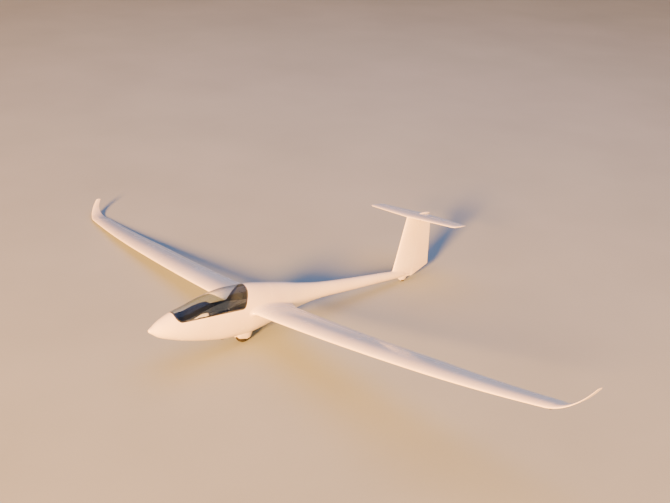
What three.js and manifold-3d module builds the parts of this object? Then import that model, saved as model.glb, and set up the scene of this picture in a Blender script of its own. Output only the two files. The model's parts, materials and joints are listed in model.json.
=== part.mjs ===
// A single-seat T-tail sailplane standing parked: on its main wheel, its tail wheel and its starboard wing tip.
// Every piece is drawn in the aircraft's own axes, in millimetres: X to port, Y aft from the nose tip, Z up.
// The whole aircraft is then rolled and pitched until those three places touch the ground, Z = 0.
import * as THREE from "three";
import { mergeVertices } from "three/addons/utils/BufferGeometryUtils.js";
import Module from "manifold-3d";

const wasm = await Module();
wasm.setup();

// Driving dimensions
const HALF_SPAN = 6650;
const SKIN = 12; // composite sandwich wall of the cockpit
const JOIN_GAP = 0.3; // between fixed pieces that meet
const SLOT = 5; // running clearance round a moving piece

// Fuselage sections: station aft of the nose, top, bottom, half width
const FUSELAGE = [
  [0, -18, -18, 0],
  [60, 30, -78, 62],
  [200, 122, -163, 135],
  [400, 212, -228, 202],
  [700, 308, -305, 248],
  [1100, 428, -374, 281],
  [1500, 492, -412, 291],
  [1850, 497, -402, 288],
  [2300, 453, -317, 252],
  [2700, 394, -200, 199],
  [3100, 322, -98, 151],
  [3600, 264, -30, 119],
  [4400, 229, 0, 100],
  [5550, 195, 48, 75],
  [5880, 150, 60, 30],
];
const BOOM_START = 2900;
const BOOM_END = 5870;

// Canopy opening in side view: aft, up. The two points at 640 lie above the body.
const CANOPY = [
  [503, 88],
  [855, 111],
  [1190, 128],
  [1500, 136],
  [1660, 138],
  [1700, 152],
  [1724, 182],
  [1784, 320],
  [1828, 432],
  [1832, 640],
  [420, 640],
  [420, 185],
  [428, 152],
  [455, 118],
];
// Cockpit hollow in side view: floor, sloped rear bulkhead and roof
const COCKPIT = [
  [300, -460],
  [1470, -460],
  [1610, -120],
  [1765, 130],
  [1905, 640],
  [300, 640],
];
const FRAME_WIDTH = 30;
const GLASS = 5;
const FRAME_DEPTH = 18;

// Wing planform along the span: span station, chord
const WING_CHORD = [
  [0, 869],
  [4000, 657],
  [6147, 394.2],
];
const WING = {
  leading: 1862, // leading edge station at the centreline
  sweep: 0.0324,
  tipSweepStart: 4000,
  tipSweep: 91.2, // extra sweep of the leading edge at the winglet's foot
  height: 25,
  dihedral: 0.0141,
  flex: 6.6e-6, // upward curve of the loaded wing, per mm
  incidence: 1.5,
  rootThickness: 0.145,
  tipThickness: 0.13,
  camber: 0.03,
};
const ROOT = 380; // joint between the fuselage's root fairing and the wing panel
const WINGLET_FOOT = 6147;
const WINGLET = {
  joint: 6000,
  radius: 633.2,
  cant: 63.2,
  sweep: 0.276,
  sweepGain: 0.000434,
  tipChord: 105,
  taper: 1.6, // power of the fall of the chord from foot to tip
};
const FLAPERON_CHORD = 0.8;
const FLAPERONS = [
  // name, inboard end, outboard end, nose radius at each end
  ["inner", 425, 3130, 34, 29],
  ["outer", 3152, 5860, 29, 19],
];
const AIRBRAKE = { centre: 2775, length: 1060, chordwise: 0.52, depth: 68, blade: 12 };

// Tail surfaces
const FIN = { leading: 5408, sweep: 0.2925, base: 210, trailing: 6370, thickness: 0.105 };
const RUDDER_AXIS = [
  [0, 5870, 20],
  [0, 6074, 1170],
];
const RUDDER = [
  // side view
  [5700, 78],
  [5886, 66],
  [6370, 243],
  [6370, 1150],
  [5700, 1150],
];
const STABILISER = { height: 1268, thickness: 0.1, hinge: 6055, halfSpan: 1154 };
// Stabiliser sections: span station, leading edge, chord
const STABILISER_SECTIONS = [
  [0, 5690, 572],
  [1080, 5790, 360],
  [1135, 5812, 330],
  [1154, 5850, 270],
];
const FIN_TOP_REAR = [6000, 1196]; // where the fin stops short of the elevator

// Wheels: axle station aft, axle height, outer radius, tyre width, rim radius, rim width
const MAIN_WHEEL = { y: 1865, z: -397, radius: 160, width: 100, rim: 70, rimWidth: 88 };
const TAIL_WHEEL = { y: 5700, z: 13, radius: 50, width: 30, rim: 26, rimWidth: 26 };
const WELL_CLEARANCE = 24;
const AXLE = 12;
const TAIL_AXLE = 5;

const paint = (color, roughness, metalness = 0) =>
  new THREE.MeshStandardMaterial({ color, roughness, metalness });
const gelcoat = paint(0xf4f1ea, 0.25);
const glass = new THREE.MeshStandardMaterial({
  color: 0x8a96a0,
  roughness: 0.05,
  transparent: true,
  opacity: 0.35,
});
const frameBlack = paint(0x1c1d20, 0.5);
const trimGrey = paint(0x4a4d52, 0.8);
const cushionFabric = paint(0x2c3340, 0.9);
const rubber = paint(0x191919, 0.85);
const alloy = paint(0xb9bcc0, 0.35, 1);
const steel = paint(0x8a8d92, 0.4, 1);
const blueKnob = paint(0x1d4fa0, 0.4);

// Small helpers for solids

function solidOf(geometry) {
  const g = geometry.index ? geometry.toNonIndexed() : geometry.clone();
  g.deleteAttribute("normal");
  g.deleteAttribute("uv");
  const merged = mergeVertices(g, 1e-3);
  return new wasm.Manifold(
    new wasm.Mesh({
      numProp: 3,
      vertProperties: merged.attributes.position.array,
      triVerts: new Uint32Array(merged.index.array),
    }),
  );
}

function geometryOf(solid) {
  const m = solid.getMesh();
  const xyz = new Float32Array(m.numVert * 3);
  for (let i = 0; i < m.numVert; i++)
    xyz.set(m.vertProperties.subarray(i * m.numProp, i * m.numProp + 3), i * 3);
  return new THREE.BufferGeometry()
    .setAttribute("position", new THREE.BufferAttribute(xyz, 3))
    .setIndex(new THREE.BufferAttribute(m.triVerts, 1));
}

// A skin through loops of equally many points, closed at both ends by strips across the loop.
function loft(loops) {
  const n = loops[0].length;
  const at = loops.flat();
  let faces = [];
  for (let i = 0; i + 1 < loops.length; i++)
    for (let j = 0; j < n; j++) {
      const a = i * n + j;
      const b = i * n + ((j + 1) % n);
      faces.push([a, b, b + n], [a, b + n, a + n]);
    }
  const last = (loops.length - 1) * n;
  for (let j = 0; j < n / 2 - 1; j++) {
    const k = n - 1 - j;
    faces.push([j, k - 1, j + 1], [j, k, k - 1]);
    faces.push([last + j, last + j + 1, last + k - 1], [last + j, last + k - 1, last + k]);
  }
  const flat = (v) => at[v];
  const volume = faces.reduce(
    (sum, [a, b, c]) => sum + flat(a).dot(flat(b).clone().cross(flat(c))),
    0,
  );
  if (volume < 0) faces = faces.map(([a, b, c]) => [a, c, b]);
  return new THREE.BufferGeometry()
    .setAttribute(
      "position",
      new THREE.Float32BufferAttribute(at.flatMap((p) => [p.x, p.y, p.z]), 3),
    )
    .setIndex(faces.flat());
}

// An outline in side view, aft against up, made a slab that is 2 * half wide across the aircraft.
function sideSlab(outline, half, centre = 0) {
  const shape = new THREE.Shape(outline.map(([y, z]) => new THREE.Vector2(y, z)));
  const slab = new THREE.ExtrudeGeometry(shape, { depth: 2 * half, bevelEnabled: false });
  // the outline's plane becomes Y Z, and its depth becomes X
  const turn = new THREE.Matrix4().set(0, 0, 1, centre - half, 1, 0, 0, 0, 0, 1, 0, 0, 0, 0, 0, 1);
  return slab.applyMatrix4(turn);
}

// The outline moved inwards by d, edge by edge.
function inset(outline, d) {
  const n = outline.length;
  const area = outline.reduce((sum, [y, z], i) => {
    const [y2, z2] = outline[(i + 1) % n];
    return sum + y * z2 - y2 * z;
  }, 0);
  const turn = Math.sign(area);
  const edge = (i) => {
    const [y, z] = outline[(i + n) % n];
    const [y2, z2] = outline[(i + 1 + n) % n];
    const length = Math.hypot(y2 - y, z2 - z);
    const u = [(y2 - y) / length, (z2 - z) / length];
    return { p: [y - u[1] * d * turn, z + u[0] * d * turn], u };
  };
  return outline.map((_, i) => {
    const a = edge(i - 1);
    const b = edge(i);
    const cross = a.u[0] * b.u[1] - a.u[1] * b.u[0];
    if (Math.abs(cross) < 1e-6) return b.p;
    const t = ((b.p[0] - a.p[0]) * b.u[1] - (b.p[1] - a.p[1]) * b.u[0]) / cross;
    return [a.p[0] + a.u[0] * t, a.p[1] + a.u[1] * t];
  });
}

function block(x, y, z, dx, dy, dz) {
  return new THREE.BoxGeometry(dx, dy, dz).translate(x, y, z);
}

// A cylinder across the aircraft, along X.
function crossBar(radius, length, x, y, z, sides = 24) {
  return new THREE.CylinderGeometry(radius, radius, length, sides)
    .rotateZ(Math.PI / 2)
    .translate(x, y, z);
}

// Linear reading of a table whose first column rises.
function reading(table, at, column = 1) {
  const i = Math.min(Math.max(table.findIndex((row) => row[0] >= at), 1), table.length - 1);
  const [a, b] = [table[i - 1], table[i]];
  return a[column] + ((b[column] - a[column]) * (at - a[0])) / (b[0] - a[0]);
}

// Smooth reading that never overshoots: cubic between rows, with the harmonic mean of the slopes at each row.
// The square root of the station is the running variable, which rounds the nose.
function smoothReading(table, at, column) {
  const s = table.map((row) => Math.sqrt(row[0]));
  const v = table.map((row) => row[column]);
  const slope = (i) => (v[i + 1] - v[i]) / (s[i + 1] - s[i]);
  const tangent = (i) => {
    if (i === 0) return slope(0);
    if (i === v.length - 1) return slope(i - 1);
    const [a, b] = [slope(i - 1), slope(i)];
    return a * b <= 0 ? 0 : (2 * a * b) / (a + b);
  };
  const x = Math.sqrt(at);
  const i = Math.min(Math.max(s.findIndex((q) => q >= x) - 1, 0), s.length - 2);
  const h = s[i + 1] - s[i];
  const t = (x - s[i]) / h;
  return (
    v[i] * (2 * t ** 3 - 3 * t ** 2 + 1) +
    tangent(i) * h * (t ** 3 - 2 * t ** 2 + t) +
    v[i + 1] * (3 * t ** 2 - 2 * t ** 3) +
    tangent(i + 1) * h * (t ** 3 - t ** 2)
  );
}

// Fuselage

function fuselageLoop(y, wall, sides) {
  const [top, bottom, half] = [1, 2, 3].map((column) => smoothReading(FUSELAGE, y, column));
  const loop = [];
  for (let k = 0; k < sides; k++) {
    const angle = ((k + 0.5) / sides) * 2 * Math.PI;
    loop.push(
      new THREE.Vector3(
        (half - wall) * Math.cos(angle),
        y,
        (top + bottom) / 2 + ((top - bottom) / 2 - wall) * Math.sin(angle),
      ),
    );
  }
  return loop;
}

function fuselageBody(stations, wall = 0, sides = 36) {
  return solidOf(loft(stations.map((y) => fuselageLoop(y, wall, sides))));
}

const POD_STATIONS = [
  1, 10, 30, 60, 110, 200, 300, 400, 550, 700, 900, 1100, 1300, 1500, 1700, 1850, 2050, 2300, 2500,
  2700, BOOM_START,
];
const CABIN_STATIONS = [290, 400, 550, 700, 900, 1100, 1300, 1500, 1700, 1850, 1900];
const BOOM_STATIONS = [
  BOOM_START + JOIN_GAP, 3100, 3350, 3600, 4000, 4400, 5000, 5550, 5720, BOOM_END,
];

// The hollow round a wheel: a drum on its axle that also runs straight down out of the skin.
function wheelWell(wheel, sideClearance, radialClearance) {
  const half = wheel.width / 2 + sideClearance;
  const r = wheel.radius + radialClearance;
  return solidOf(crossBar(r, 2 * half, 0, wheel.y, wheel.z, 40)).add(
    solidOf(block(0, wheel.y, wheel.z - r / 2, 2 * half, 2 * r, r)),
  );
}

const podOuter = fuselageBody(POD_STATIONS);
const cabin = fuselageBody(CABIN_STATIONS, SKIN, 28).intersect(solidOf(sideSlab(COCKPIT, 400)));
const canopyOpening = solidOf(sideSlab(CANOPY, 400));
const mainWell = wheelWell(MAIN_WHEEL, 22, WELL_CLEARANCE);

// Wing sections

// Half thickness of a wing section as a share of its chord, at u of the chord, for a thickness t.
function halfThickness(u, t) {
  return (
    5 * t * (0.2969 * Math.sqrt(u) - 0.126 * u - 0.3516 * u ** 2 + 0.2843 * u ** 3 - 0.1036 * u ** 4)
  );
}

function camberLine(u, m) {
  const p = 0.4;
  return u < p ? (m / p ** 2) * (2 * p * u - u * u) : (m / (1 - p) ** 2) * (1 - 2 * p + 2 * p * u - u * u);
}

const TRAILING_HALF = 1.2; // half thickness of a trailing edge
const SECTION_POINTS = 13;

// A wing section as [distance aft, height] pairs: over the top from the trailing edge, then back underneath.
function sectionPoints(chord, t, camber, fatter = 0) {
  const upper = [];
  const lower = [];
  for (let k = 0; k <= SECTION_POINTS; k++) {
    const u = (1 + Math.cos((Math.PI * (k + 0.35)) / (SECTION_POINTS + 0.7))) / 2;
    const h = halfThickness(u, t) * chord + TRAILING_HALF * u + fatter;
    const middle = camberLine(u, camber) * chord;
    upper.push([u * chord, middle + h]);
    lower.unshift([u * chord, middle - h]);
  }
  return [...upper, ...lower];
}

// Place of the wing's chord line at a span station: across, leading edge, height, slope angle, chord.
function wingPlace(x) {
  const curved = Math.max(x - WING.tipSweepStart, 0);
  const foot = WINGLET_FOOT - WING.tipSweepStart;
  return {
    x,
    leading: WING.leading + WING.sweep * x + WING.tipSweep * (curved / foot) ** 2,
    z: WING.height + WING.dihedral * x + WING.flex * x * x,
    slope: Math.atan(WING.dihedral + 2 * WING.flex * x),
    chord: reading(WING_CHORD, x),
    thickness: THREE.MathUtils.lerp(WING.rootThickness, WING.tipThickness, x / WINGLET_FOOT),
  };
}

// The same past the winglet's foot, where the span path turns up on an arc.
function wingletPlace(share) {
  const foot = wingPlace(WINGLET_FOOT);
  const slope = THREE.MathUtils.lerp(foot.slope, THREE.MathUtils.degToRad(WINGLET.cant), share);
  const along = WINGLET.radius * (slope - foot.slope);
  return {
    x: foot.x + WINGLET.radius * (Math.sin(slope) - Math.sin(foot.slope)),
    leading: foot.leading + WINGLET.sweep * along + WINGLET.sweepGain * along ** 2,
    z: foot.z - WINGLET.radius * (Math.cos(slope) - Math.cos(foot.slope)),
    slope,
    chord: WINGLET.tipChord + (foot.chord - WINGLET.tipChord) * (1 - share) ** WINGLET.taper,
    thickness: THREE.MathUtils.lerp(WING.tipThickness, 0.1, share),
  };
}

function wingLoop(place, shrink = 1) {
  const turn = THREE.MathUtils.degToRad(WING.incidence);
  return sectionPoints(place.chord, place.thickness, WING.camber).map(([aft, up]) => {
    const back = (aft - place.chord / 2) * shrink;
    const rise = up * shrink;
    const y = back * Math.cos(turn) + rise * Math.sin(turn);
    const h = rise * Math.cos(turn) - back * Math.sin(turn);
    return new THREE.Vector3(
      place.x - h * Math.sin(place.slope),
      place.leading + place.chord / 2 + y,
      place.z + h * Math.cos(place.slope),
    );
  });
}

// A point inside the wing at a span station and a share of the chord, lift above the section's middle.
function wingPoint(x, share, lift = 0) {
  const place = wingPlace(x);
  const turn = THREE.MathUtils.degToRad(WING.incidence);
  const back = (share - 0.5) * place.chord;
  const rise = camberLine(share, WING.camber) * place.chord + lift;
  return new THREE.Vector3(
    x - rise * Math.sin(place.slope),
    place.leading + place.chord / 2 + back,
    place.z + rise * Math.cos(place.slope) - back * Math.sin(turn),
  );
}

// The fuselage's root fairing grows out of the side of the pod into the wing's own section.
// Rows: span station, leading edge forward of the wing's, trailing edge aft of it, thickness of the section
const ROOT_FAIRING = [
  [205, 105, 62, 0.2],
  [262, 84, 48, 0.178],
  [300, 55, 30, 0.162],
  [340, 22, 12, 0.15],
  [ROOT, 0, 0, 0.144],
];
function rootFairing() {
  const loops = ROOT_FAIRING.map(([x, forward, aft, thickness]) => {
    const place = wingPlace(x);
    place.leading -= forward;
    place.chord += forward + aft;
    place.thickness = thickness;
    return wingLoop(place);
  });
  return solidOf(loft(loops));
}
const portFairing = rootFairing();
const starboardFairing = portFairing.mirror([1, 0, 0]);

const pod = podOuter
  .add(portFairing)
  .add(starboardFairing)
  .subtract(cabin)
  .subtract(canopyOpening)
  .subtract(mainWell);

// The pod's mouldings: a nose ahead of the cockpit, two side shells that meet along the keel, and behind the
// sloped bulkhead a centre section that carries the wings and the wheel.
const aheadOfBulkhead = [[COCKPIT[0][0], -460], ...COCKPIT.slice(1, 5), [COCKPIT[0][0], 640]];
const mouldSpace = (outline, half, centre = 0) => solidOf(sideSlab(outline, half, centre));
const front = [[-60, -460], [COCKPIT[0][0], -460], [COCKPIT[0][0], 640], [-60, 640]];
const biggest = (solid) => solid.decompose().sort((a, b) => b.volume() - a.volume())[0];
const podNose = biggest(pod.intersect(mouldSpace(inset(front, JOIN_GAP / 2), 400)));
const podSide = (side) =>
  biggest(pod.intersect(mouldSpace(inset(aheadOfBulkhead, JOIN_GAP / 2), 200, side * (200 + JOIN_GAP / 2))));
const podCentre = biggest(
  pod.subtract(mouldSpace(front, 400)).subtract(mouldSpace(inset(aheadOfBulkhead, -JOIN_GAP / 2), 400)),
);

const boom = fuselageBody(BOOM_STATIONS, 0, 28);

// Canopy: a glass shell on a frame that lies inside its edge

function canopyBand(outerWall, innerWall) {
  return fuselageBody(CABIN_STATIONS, outerWall, 36).subtract(
    fuselageBody([280, ...CABIN_STATIONS.slice(1), 1910], innerWall, 36),
  );
}
const canopyInside = (d) => solidOf(sideSlab(inset(CANOPY, d), 400));
const canopyGlass = canopyBand(0, GLASS).intersect(canopyInside(SLOT));
const canopyRing = canopyBand(GLASS + JOIN_GAP, FRAME_DEPTH)
  .intersect(canopyInside(SLOT))
  .subtract(canopyInside(SLOT + FRAME_WIDTH));

// Starboard hinge line of the canopy: along the sill, just outside the widest place of the skin there.
const CANOPY_AXIS = [
  [-293, 540, 105],
  [-293, 1700, 140],
];
const HINGE = { knuckle: 5, length: 44, stations: [1000, 1620], leaf: 14 };
const canopyAxisHeight = (y) => reading(CANOPY_AXIS.map(([, aft, up]) => [aft, up]), y);
// The canopy's own half of a hinge: a knuckle beside the fixed one, and a leaf under the glass to the frame.
function canopyLeaf(y) {
  const aft = y + HINGE.length / 2 + JOIN_GAP + HINGE.leaf / 2;
  const z = canopyAxisHeight(aft);
  const [top, bottom, half] = [1, 2, 3].map((column) => smoothReading(FUSELAGE, aft, column));
  const skin = half * Math.sqrt(1 - ((z - (top + bottom) / 2) / ((top - bottom) / 2)) ** 2);
  const x = CANOPY_AXIS[0][0];
  const inner = -skin + GLASS + 9;
  const knuckle = new THREE.CylinderGeometry(HINGE.knuckle, HINGE.knuckle, HINGE.leaf, 16);
  return solidOf(knuckle.translate(x, aft, z))
    .add(solidOf(block((x + inner) / 2, aft, z + 2.5, inner - x, HINGE.leaf, 3)))
    .add(solidOf(block(inner - 3, aft, z + 6, 6, HINGE.leaf, 10)))
    .subtract(canopyBand(-JOIN_GAP, GLASS + JOIN_GAP).intersect(canopyInside(SLOT - JOIN_GAP)));
}
const canopyFrame = HINGE.stations.reduce((solid, y) => solid.add(canopyLeaf(y)), canopyRing);

// Control surfaces

// What lies behind a hinge line: a drum round the line and everything aft of it, between its two ends.
// grow widens the drum and lengthens both ends.
function behindHinge(start, end, radii, grow, reach = 700) {
  const a = new THREE.Vector3(...start);
  const b = new THREE.Vector3(...end);
  const along = b.clone().sub(a).normalize();
  const length = a.distanceTo(b) + 2 * grow;
  const side = along.clone().cross(new THREE.Vector3(0, 1, 0)).normalize();
  const aft = side.clone().cross(along);
  const basis = new THREE.Matrix4().makeBasis(aft, along, aft.clone().cross(along));
  basis.setPosition(a.clone().add(b).multiplyScalar(0.5));
  const drum = new THREE.CylinderGeometry(radii[1] + grow, radii[0] + grow, length, 24);
  const slab = new THREE.BoxGeometry(reach, length, 2 * reach).translate(reach / 2, 0, 0);
  return solidOf(drum.applyMatrix4(basis)).add(solidOf(slab.applyMatrix4(basis)));
}

// Pins on a hinge line, from both ends of a control surface to just off the walls of its bay.
const PIN = 4;
function hingePins(start, end) {
  const a = new THREE.Vector3(...start);
  const b = new THREE.Vector3(...end);
  const along = b.clone().sub(a).normalize();
  const inside = 12;
  const length = inside + SLOT - JOIN_GAP;
  return [a, b].map((foot, i) => {
    const outward = along.clone().multiplyScalar(i ? 1 : -1);
    const turn = new THREE.Quaternion().setFromUnitVectors(new THREE.Vector3(0, 1, 0), outward);
    const middle = foot.clone().addScaledVector(outward, length / 2 - inside);
    return solidOf(
      new THREE.CylinderGeometry(PIN, PIN, length, 12).applyQuaternion(turn).translate(...middle.toArray()),
    );
  });
}

const WING_STATIONS = [
  ROOT + JOIN_GAP, 1100, 1900, 2600, 3300, 4000, 4600, 5200, 5700, WINGLET.joint,
];
const wholeWing = solidOf(loft(WING_STATIONS.map((x) => wingLoop(wingPlace(x)))));

const flaperonAxes = FLAPERONS.map(([, inboard, outboard]) => [
  wingPoint(inboard, FLAPERON_CHORD, -5).toArray(),
  wingPoint(outboard, FLAPERON_CHORD, -5).toArray(),
]);
let wing = wholeWing;
const flaperons = FLAPERONS.map(([name, , , r0, r1], i) => {
  wing = wing.subtract(behindHinge(...flaperonAxes[i], [r0, r1], SLOT, 400));
  const surface = wholeWing.intersect(behindHinge(...flaperonAxes[i], [r0, r1], 0, 400));
  return [name, hingePins(...flaperonAxes[i]).reduce((solid, pin) => solid.add(pin), surface)];
});

// Airbrake: an upright blade in a slot, its top flush with the wing.
const brakePlace = wingPlace(AIRBRAKE.centre);
const brakeMiddle = wingPoint(AIRBRAKE.centre, AIRBRAKE.chordwise);
const brakeTop = halfThickness(AIRBRAKE.chordwise, brakePlace.thickness) * brakePlace.chord;
function brakeBox(grow, length = AIRBRAKE.length + 2 * grow, top = brakeTop + 60, thick = AIRBRAKE.blade + 2 * grow) {
  const height = top - brakeTop + AIRBRAKE.depth + grow;
  return solidOf(
    new THREE.BoxGeometry(length, thick, height)
      .translate(0, 0, top - height / 2)
      .rotateY(-brakePlace.slope)
      .translate(...brakeMiddle.toArray()),
  );
}
wing = wing.subtract(brakeBox(SLOT));
// Runners on the blade's two ends slide along the end walls of the slot.
const RUNNER = { top: -22, thick: 5 };
const airbrake = wholeWing
  .intersect(brakeBox(0))
  .add(brakeBox(0, AIRBRAKE.length + 2 * (SLOT - JOIN_GAP), brakeTop + RUNNER.top, RUNNER.thick));

// Winglet: the outer end of the wing, turned up on an arc to a small tip.
const WINGLET_SHARES = [0, 0.12, 0.25, 0.4, 0.55, 0.7, 0.85, 0.95];
const winglet = solidOf(
  loft([
    wingLoop(wingPlace(WINGLET.joint + JOIN_GAP)),
    wingLoop(wingPlace(6110)),
    ...WINGLET_SHARES.map((share) => wingLoop(wingletPlace(share))),
    wingLoop(wingletPlace(0.99), 0.86),
    wingLoop(wingletPlace(1), 0.6),
  ]),
);

// A hard-wearing skid under the wing tip, which it rests on.
const SKID = { share: 0.045, length: 190, width: 26, depth: 16 };
function tipSkid() {
  const place = wingletPlace(SKID.share);
  const under = halfThickness(0.35, place.thickness) * place.chord - camberLine(0.35, WING.camber) * place.chord;
  const shape = new THREE.BoxGeometry(SKID.width, SKID.length, 60)
    .translate(0, place.chord * 0.4, -under - SKID.depth + 30)
    .rotateY(-place.slope)
    .translate(place.x, place.leading, place.z);
  const stations = [6110, WINGLET_FOOT].map(wingPlace);
  const around = [...stations, wingletPlace(0.12), wingletPlace(0.25)].map((p) => fatLoop(p, JOIN_GAP));
  return solidOf(shape).subtract(solidOf(loft(around))).decompose().sort((a, b) => b.volume() - a.volume());
}
// The wing's section grown by a gap all round.
function fatLoop(place, gap) {
  const c = place.chord;
  const turn = THREE.MathUtils.degToRad(WING.incidence);
  return sectionPoints(c, place.thickness, WING.camber, gap).map(([aft, up]) => {
    const back = (aft - c / 2) * (1 + (2 * gap) / c);
    const h = up * Math.cos(turn) - back * Math.sin(turn);
    return new THREE.Vector3(
      place.x - h * Math.sin(place.slope),
      place.leading + c / 2 + back * Math.cos(turn) + up * Math.sin(turn),
      place.z + h * Math.cos(place.slope),
    );
  });
}

// Fin and rudder: one upright section, parted at the hinge line.
function finLoop(z, fatter = 0) {
  const leading = FIN.leading + FIN.sweep * (z - FIN.base);
  const chord = FIN.trailing - leading;
  return sectionPoints(chord, FIN.thickness, 0, fatter).map(
    ([aft, side]) => new THREE.Vector3(side, leading + aft, z),
  );
}
const wholeFin = solidOf(loft([30, 400, 800, 1267].map((z) => finLoop(z))));
const RUDDER_RADII = [48, 36];
// Hinge tongues of the fin in slots of the rudder's nose, at shares of the hinge line's length
const TONGUE = { shares: [0.3, 0.9], thick: 8, round: 12, neck: 14, slotRound: 18 };
function onRudderAxis(share, geometry) {
  const [a, b] = RUDDER_AXIS.map((p) => new THREE.Vector3(...p));
  const lean = Math.atan2(b.y - a.y, b.z - a.z);
  return solidOf(geometry.rotateX(-lean).translate(...a.lerp(b, share).toArray()));
}
const upright = (radius, height) => new THREE.CylinderGeometry(radius, radius, height, 24).rotateX(Math.PI / 2);
function tongue(share) {
  const neck = new THREE.BoxGeometry(TONGUE.neck, 70, TONGUE.thick).translate(0, -35, 0);
  return onRudderAxis(share, upright(TONGUE.round, TONGUE.thick)).add(onRudderAxis(share, neck));
}
function tongueSlot(share) {
  const height = TONGUE.thick + 2 * JOIN_GAP;
  const front = new THREE.BoxGeometry(160, 100, height).translate(0, -50, 0);
  return onRudderAxis(share, upright(TONGUE.slotRound, height)).add(onRudderAxis(share, front));
}
const rudder = TONGUE.shares.reduce(
  (solid, share) => solid.subtract(tongueSlot(share)),
  wholeFin.intersect(behindHinge(...RUDDER_AXIS, RUDDER_RADII, 0)).intersect(solidOf(sideSlab(RUDDER, 200))),
);

function stabiliserLoop(x, leading, chord, fatter = 0) {
  return sectionPoints(chord, STABILISER.thickness, 0, fatter).map(
    ([aft, up]) => new THREE.Vector3(x, leading + aft, STABILISER.height + up),
  );
}
function stabiliserBody(fatter = 0) {
  const rows = [...STABILISER_SECTIONS.slice(1).reverse().map(([x, ...rest]) => [-x, ...rest]), ...STABILISER_SECTIONS];
  return solidOf(loft(rows.map(([x, leading, chord]) => stabiliserLoop(x, leading - fatter, chord + 2 * fatter, fatter))));
}
const wholeStabiliser = stabiliserBody();
const ELEVATOR = { inboard: 40, outboard: 1128, radii: [24, 13] };
const elevatorAxis = [ELEVATOR.inboard, ELEVATOR.outboard].map((x) => [x, STABILISER.hinge, STABILISER.height]);
const elevator = hingePins(...elevatorAxis).reduce(
  (solid, pin) => solid.add(pin),
  wholeStabiliser.intersect(behindHinge(...elevatorAxis, ELEVATOR.radii, 0, 300)),
);
const elevatorSpace = behindHinge(...elevatorAxis, ELEVATOR.radii, SLOT, 300);
const stabiliser = wholeStabiliser.subtract(elevatorSpace).subtract(elevatorSpace.mirror([1, 0, 0]));

const FIN_FOOT = 70; // the fin's skin starts inside the boom's height and is cut by it
const boomAround = fuselageBody([5300, 5400, 5550, 5720, 5880], -JOIN_GAP, 28);
const fin = wholeFin
  .subtract(behindHinge([0, 5852.3, -80], [0, 6092, 1272], [50, 35], SLOT))
  .subtract(solidOf(block(0, 5800, FIN_FOOT - 100, 400, 1600, 200)))
  .subtract(solidOf(block(0, FIN_TOP_REAR[0] + 250, FIN_TOP_REAR[1] + 100, 400, 500, 200)))
  .subtract(boomAround)
  .subtract(stabiliserBody(JOIN_GAP))
  .add(tongue(TONGUE.shares[0]))
  .add(tongue(TONGUE.shares[1]))
  .decompose()
  .sort((a, b) => b.volume() - a.volume())[0];
// The boom's end closes against the rudder's drum.
const boomCut = boom
  .subtract(behindHinge([0, 5835, -180], [0, 5941, 420], [56, 50], SLOT))
  .subtract(wheelWell(TAIL_WHEEL, 5, 7));

// A streamlined blister: rows of station aft, half width, lowest point
function blister(rows, top) {
  const sides = 20;
  return solidOf(
    loft(
      rows.map(([y, half, low]) => {
        const loop = [];
        for (let k = 0; k < sides; k++) {
          const angle = ((k + 0.5) / sides) * 2 * Math.PI;
          const up = Math.sin(angle);
          loop.push(new THREE.Vector3(half * Math.cos(angle), y, up > 0 ? top + 20 * up : top + (top - low) * up));
        }
        return loop;
      }),
    ),
  );
}

const MAIN_FAIRING = [
  [1560, 46, -400],
  [1640, 76, -416],
  [1690, 92, -446],
  [1750, 108, -494],
  [1865, 110, -517],
  [1920, 104, -530],
  [1975, 88, -520],
  [2040, 56, -440],
];
const mainFairing = blister(MAIN_FAIRING, -360)
  .subtract(fuselageBody([1400, 1500, 1700, 1850, 2050, 2300], -JOIN_GAP, 36))
  .subtract(wheelWell(MAIN_WHEEL, 22, WELL_CLEARANCE))
  .decompose()
  .sort((a, b) => b.volume() - a.volume())[0];

const TAIL_FAIRING = [
  [5560, 10, 44],
  [5600, 22, 10],
  [5650, 31, -18],
  [5700, 34, -27],
  [5750, 29, -12],
  [5815, 12, 46],
];
const tailFairing = blister(TAIL_FAIRING, 60)
  .subtract(boomAround)
  .subtract(wheelWell(TAIL_WHEEL, 5, 7))
  .decompose()
  .sort((a, b) => b.volume() - a.volume())[0];

// The small fairing over the elevator's drive, on the stabiliser's centre.
const TOP_FAIRING = [
  [6030, 6, 1286],
  [6080, 16, 1298],
  [6150, 24, 1308],
  [6220, 27, 1312],
  [6290, 20, 1308],
  [6335, 7, 1298],
];
function topFairingBody() {
  const sides = 16;
  const loops = TOP_FAIRING.map(([y, half, high]) => {
    const low = y > 6200 ? 1262 : 1272;
    return Array.from({ length: sides }, (_, k) => {
      const angle = ((k + 0.5) / sides) * 2 * Math.PI;
      return new THREE.Vector3(half * Math.cos(angle), y, (high + low) / 2 + ((high - low) / 2) * Math.sin(angle));
    });
  });
  return solidOf(loft(loops)).subtract(stabiliserBody(JOIN_GAP)).decompose().sort((a, b) => b.volume() - a.volume())[0];
}

// Wheels

// Tyre section turned about X: a round crown, straight sides and a bead on the rim.
function tyre(wheel) {
  const half = wheel.width / 2;
  const shape = [
    [wheel.rim, -0.72],
    [wheel.rim + 0.25 * (wheel.radius - wheel.rim), -0.94],
    [wheel.rim + 0.62 * (wheel.radius - wheel.rim), -1],
    [wheel.rim + 0.86 * (wheel.radius - wheel.rim), -0.78],
    [wheel.rim + 0.97 * (wheel.radius - wheel.rim), -0.42],
    [wheel.radius, 0],
  ];
  const mirrored = shape.slice(0, -1).reverse().map(([r, s]) => [r, -s]);
  const profile = [...shape, ...mirrored, shape[0]].map(([r, s]) => new THREE.Vector2(r, s * half));
  return new THREE.LatheGeometry(profile, 40).rotateZ(-Math.PI / 2).translate(0, wheel.y, wheel.z);
}

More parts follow.
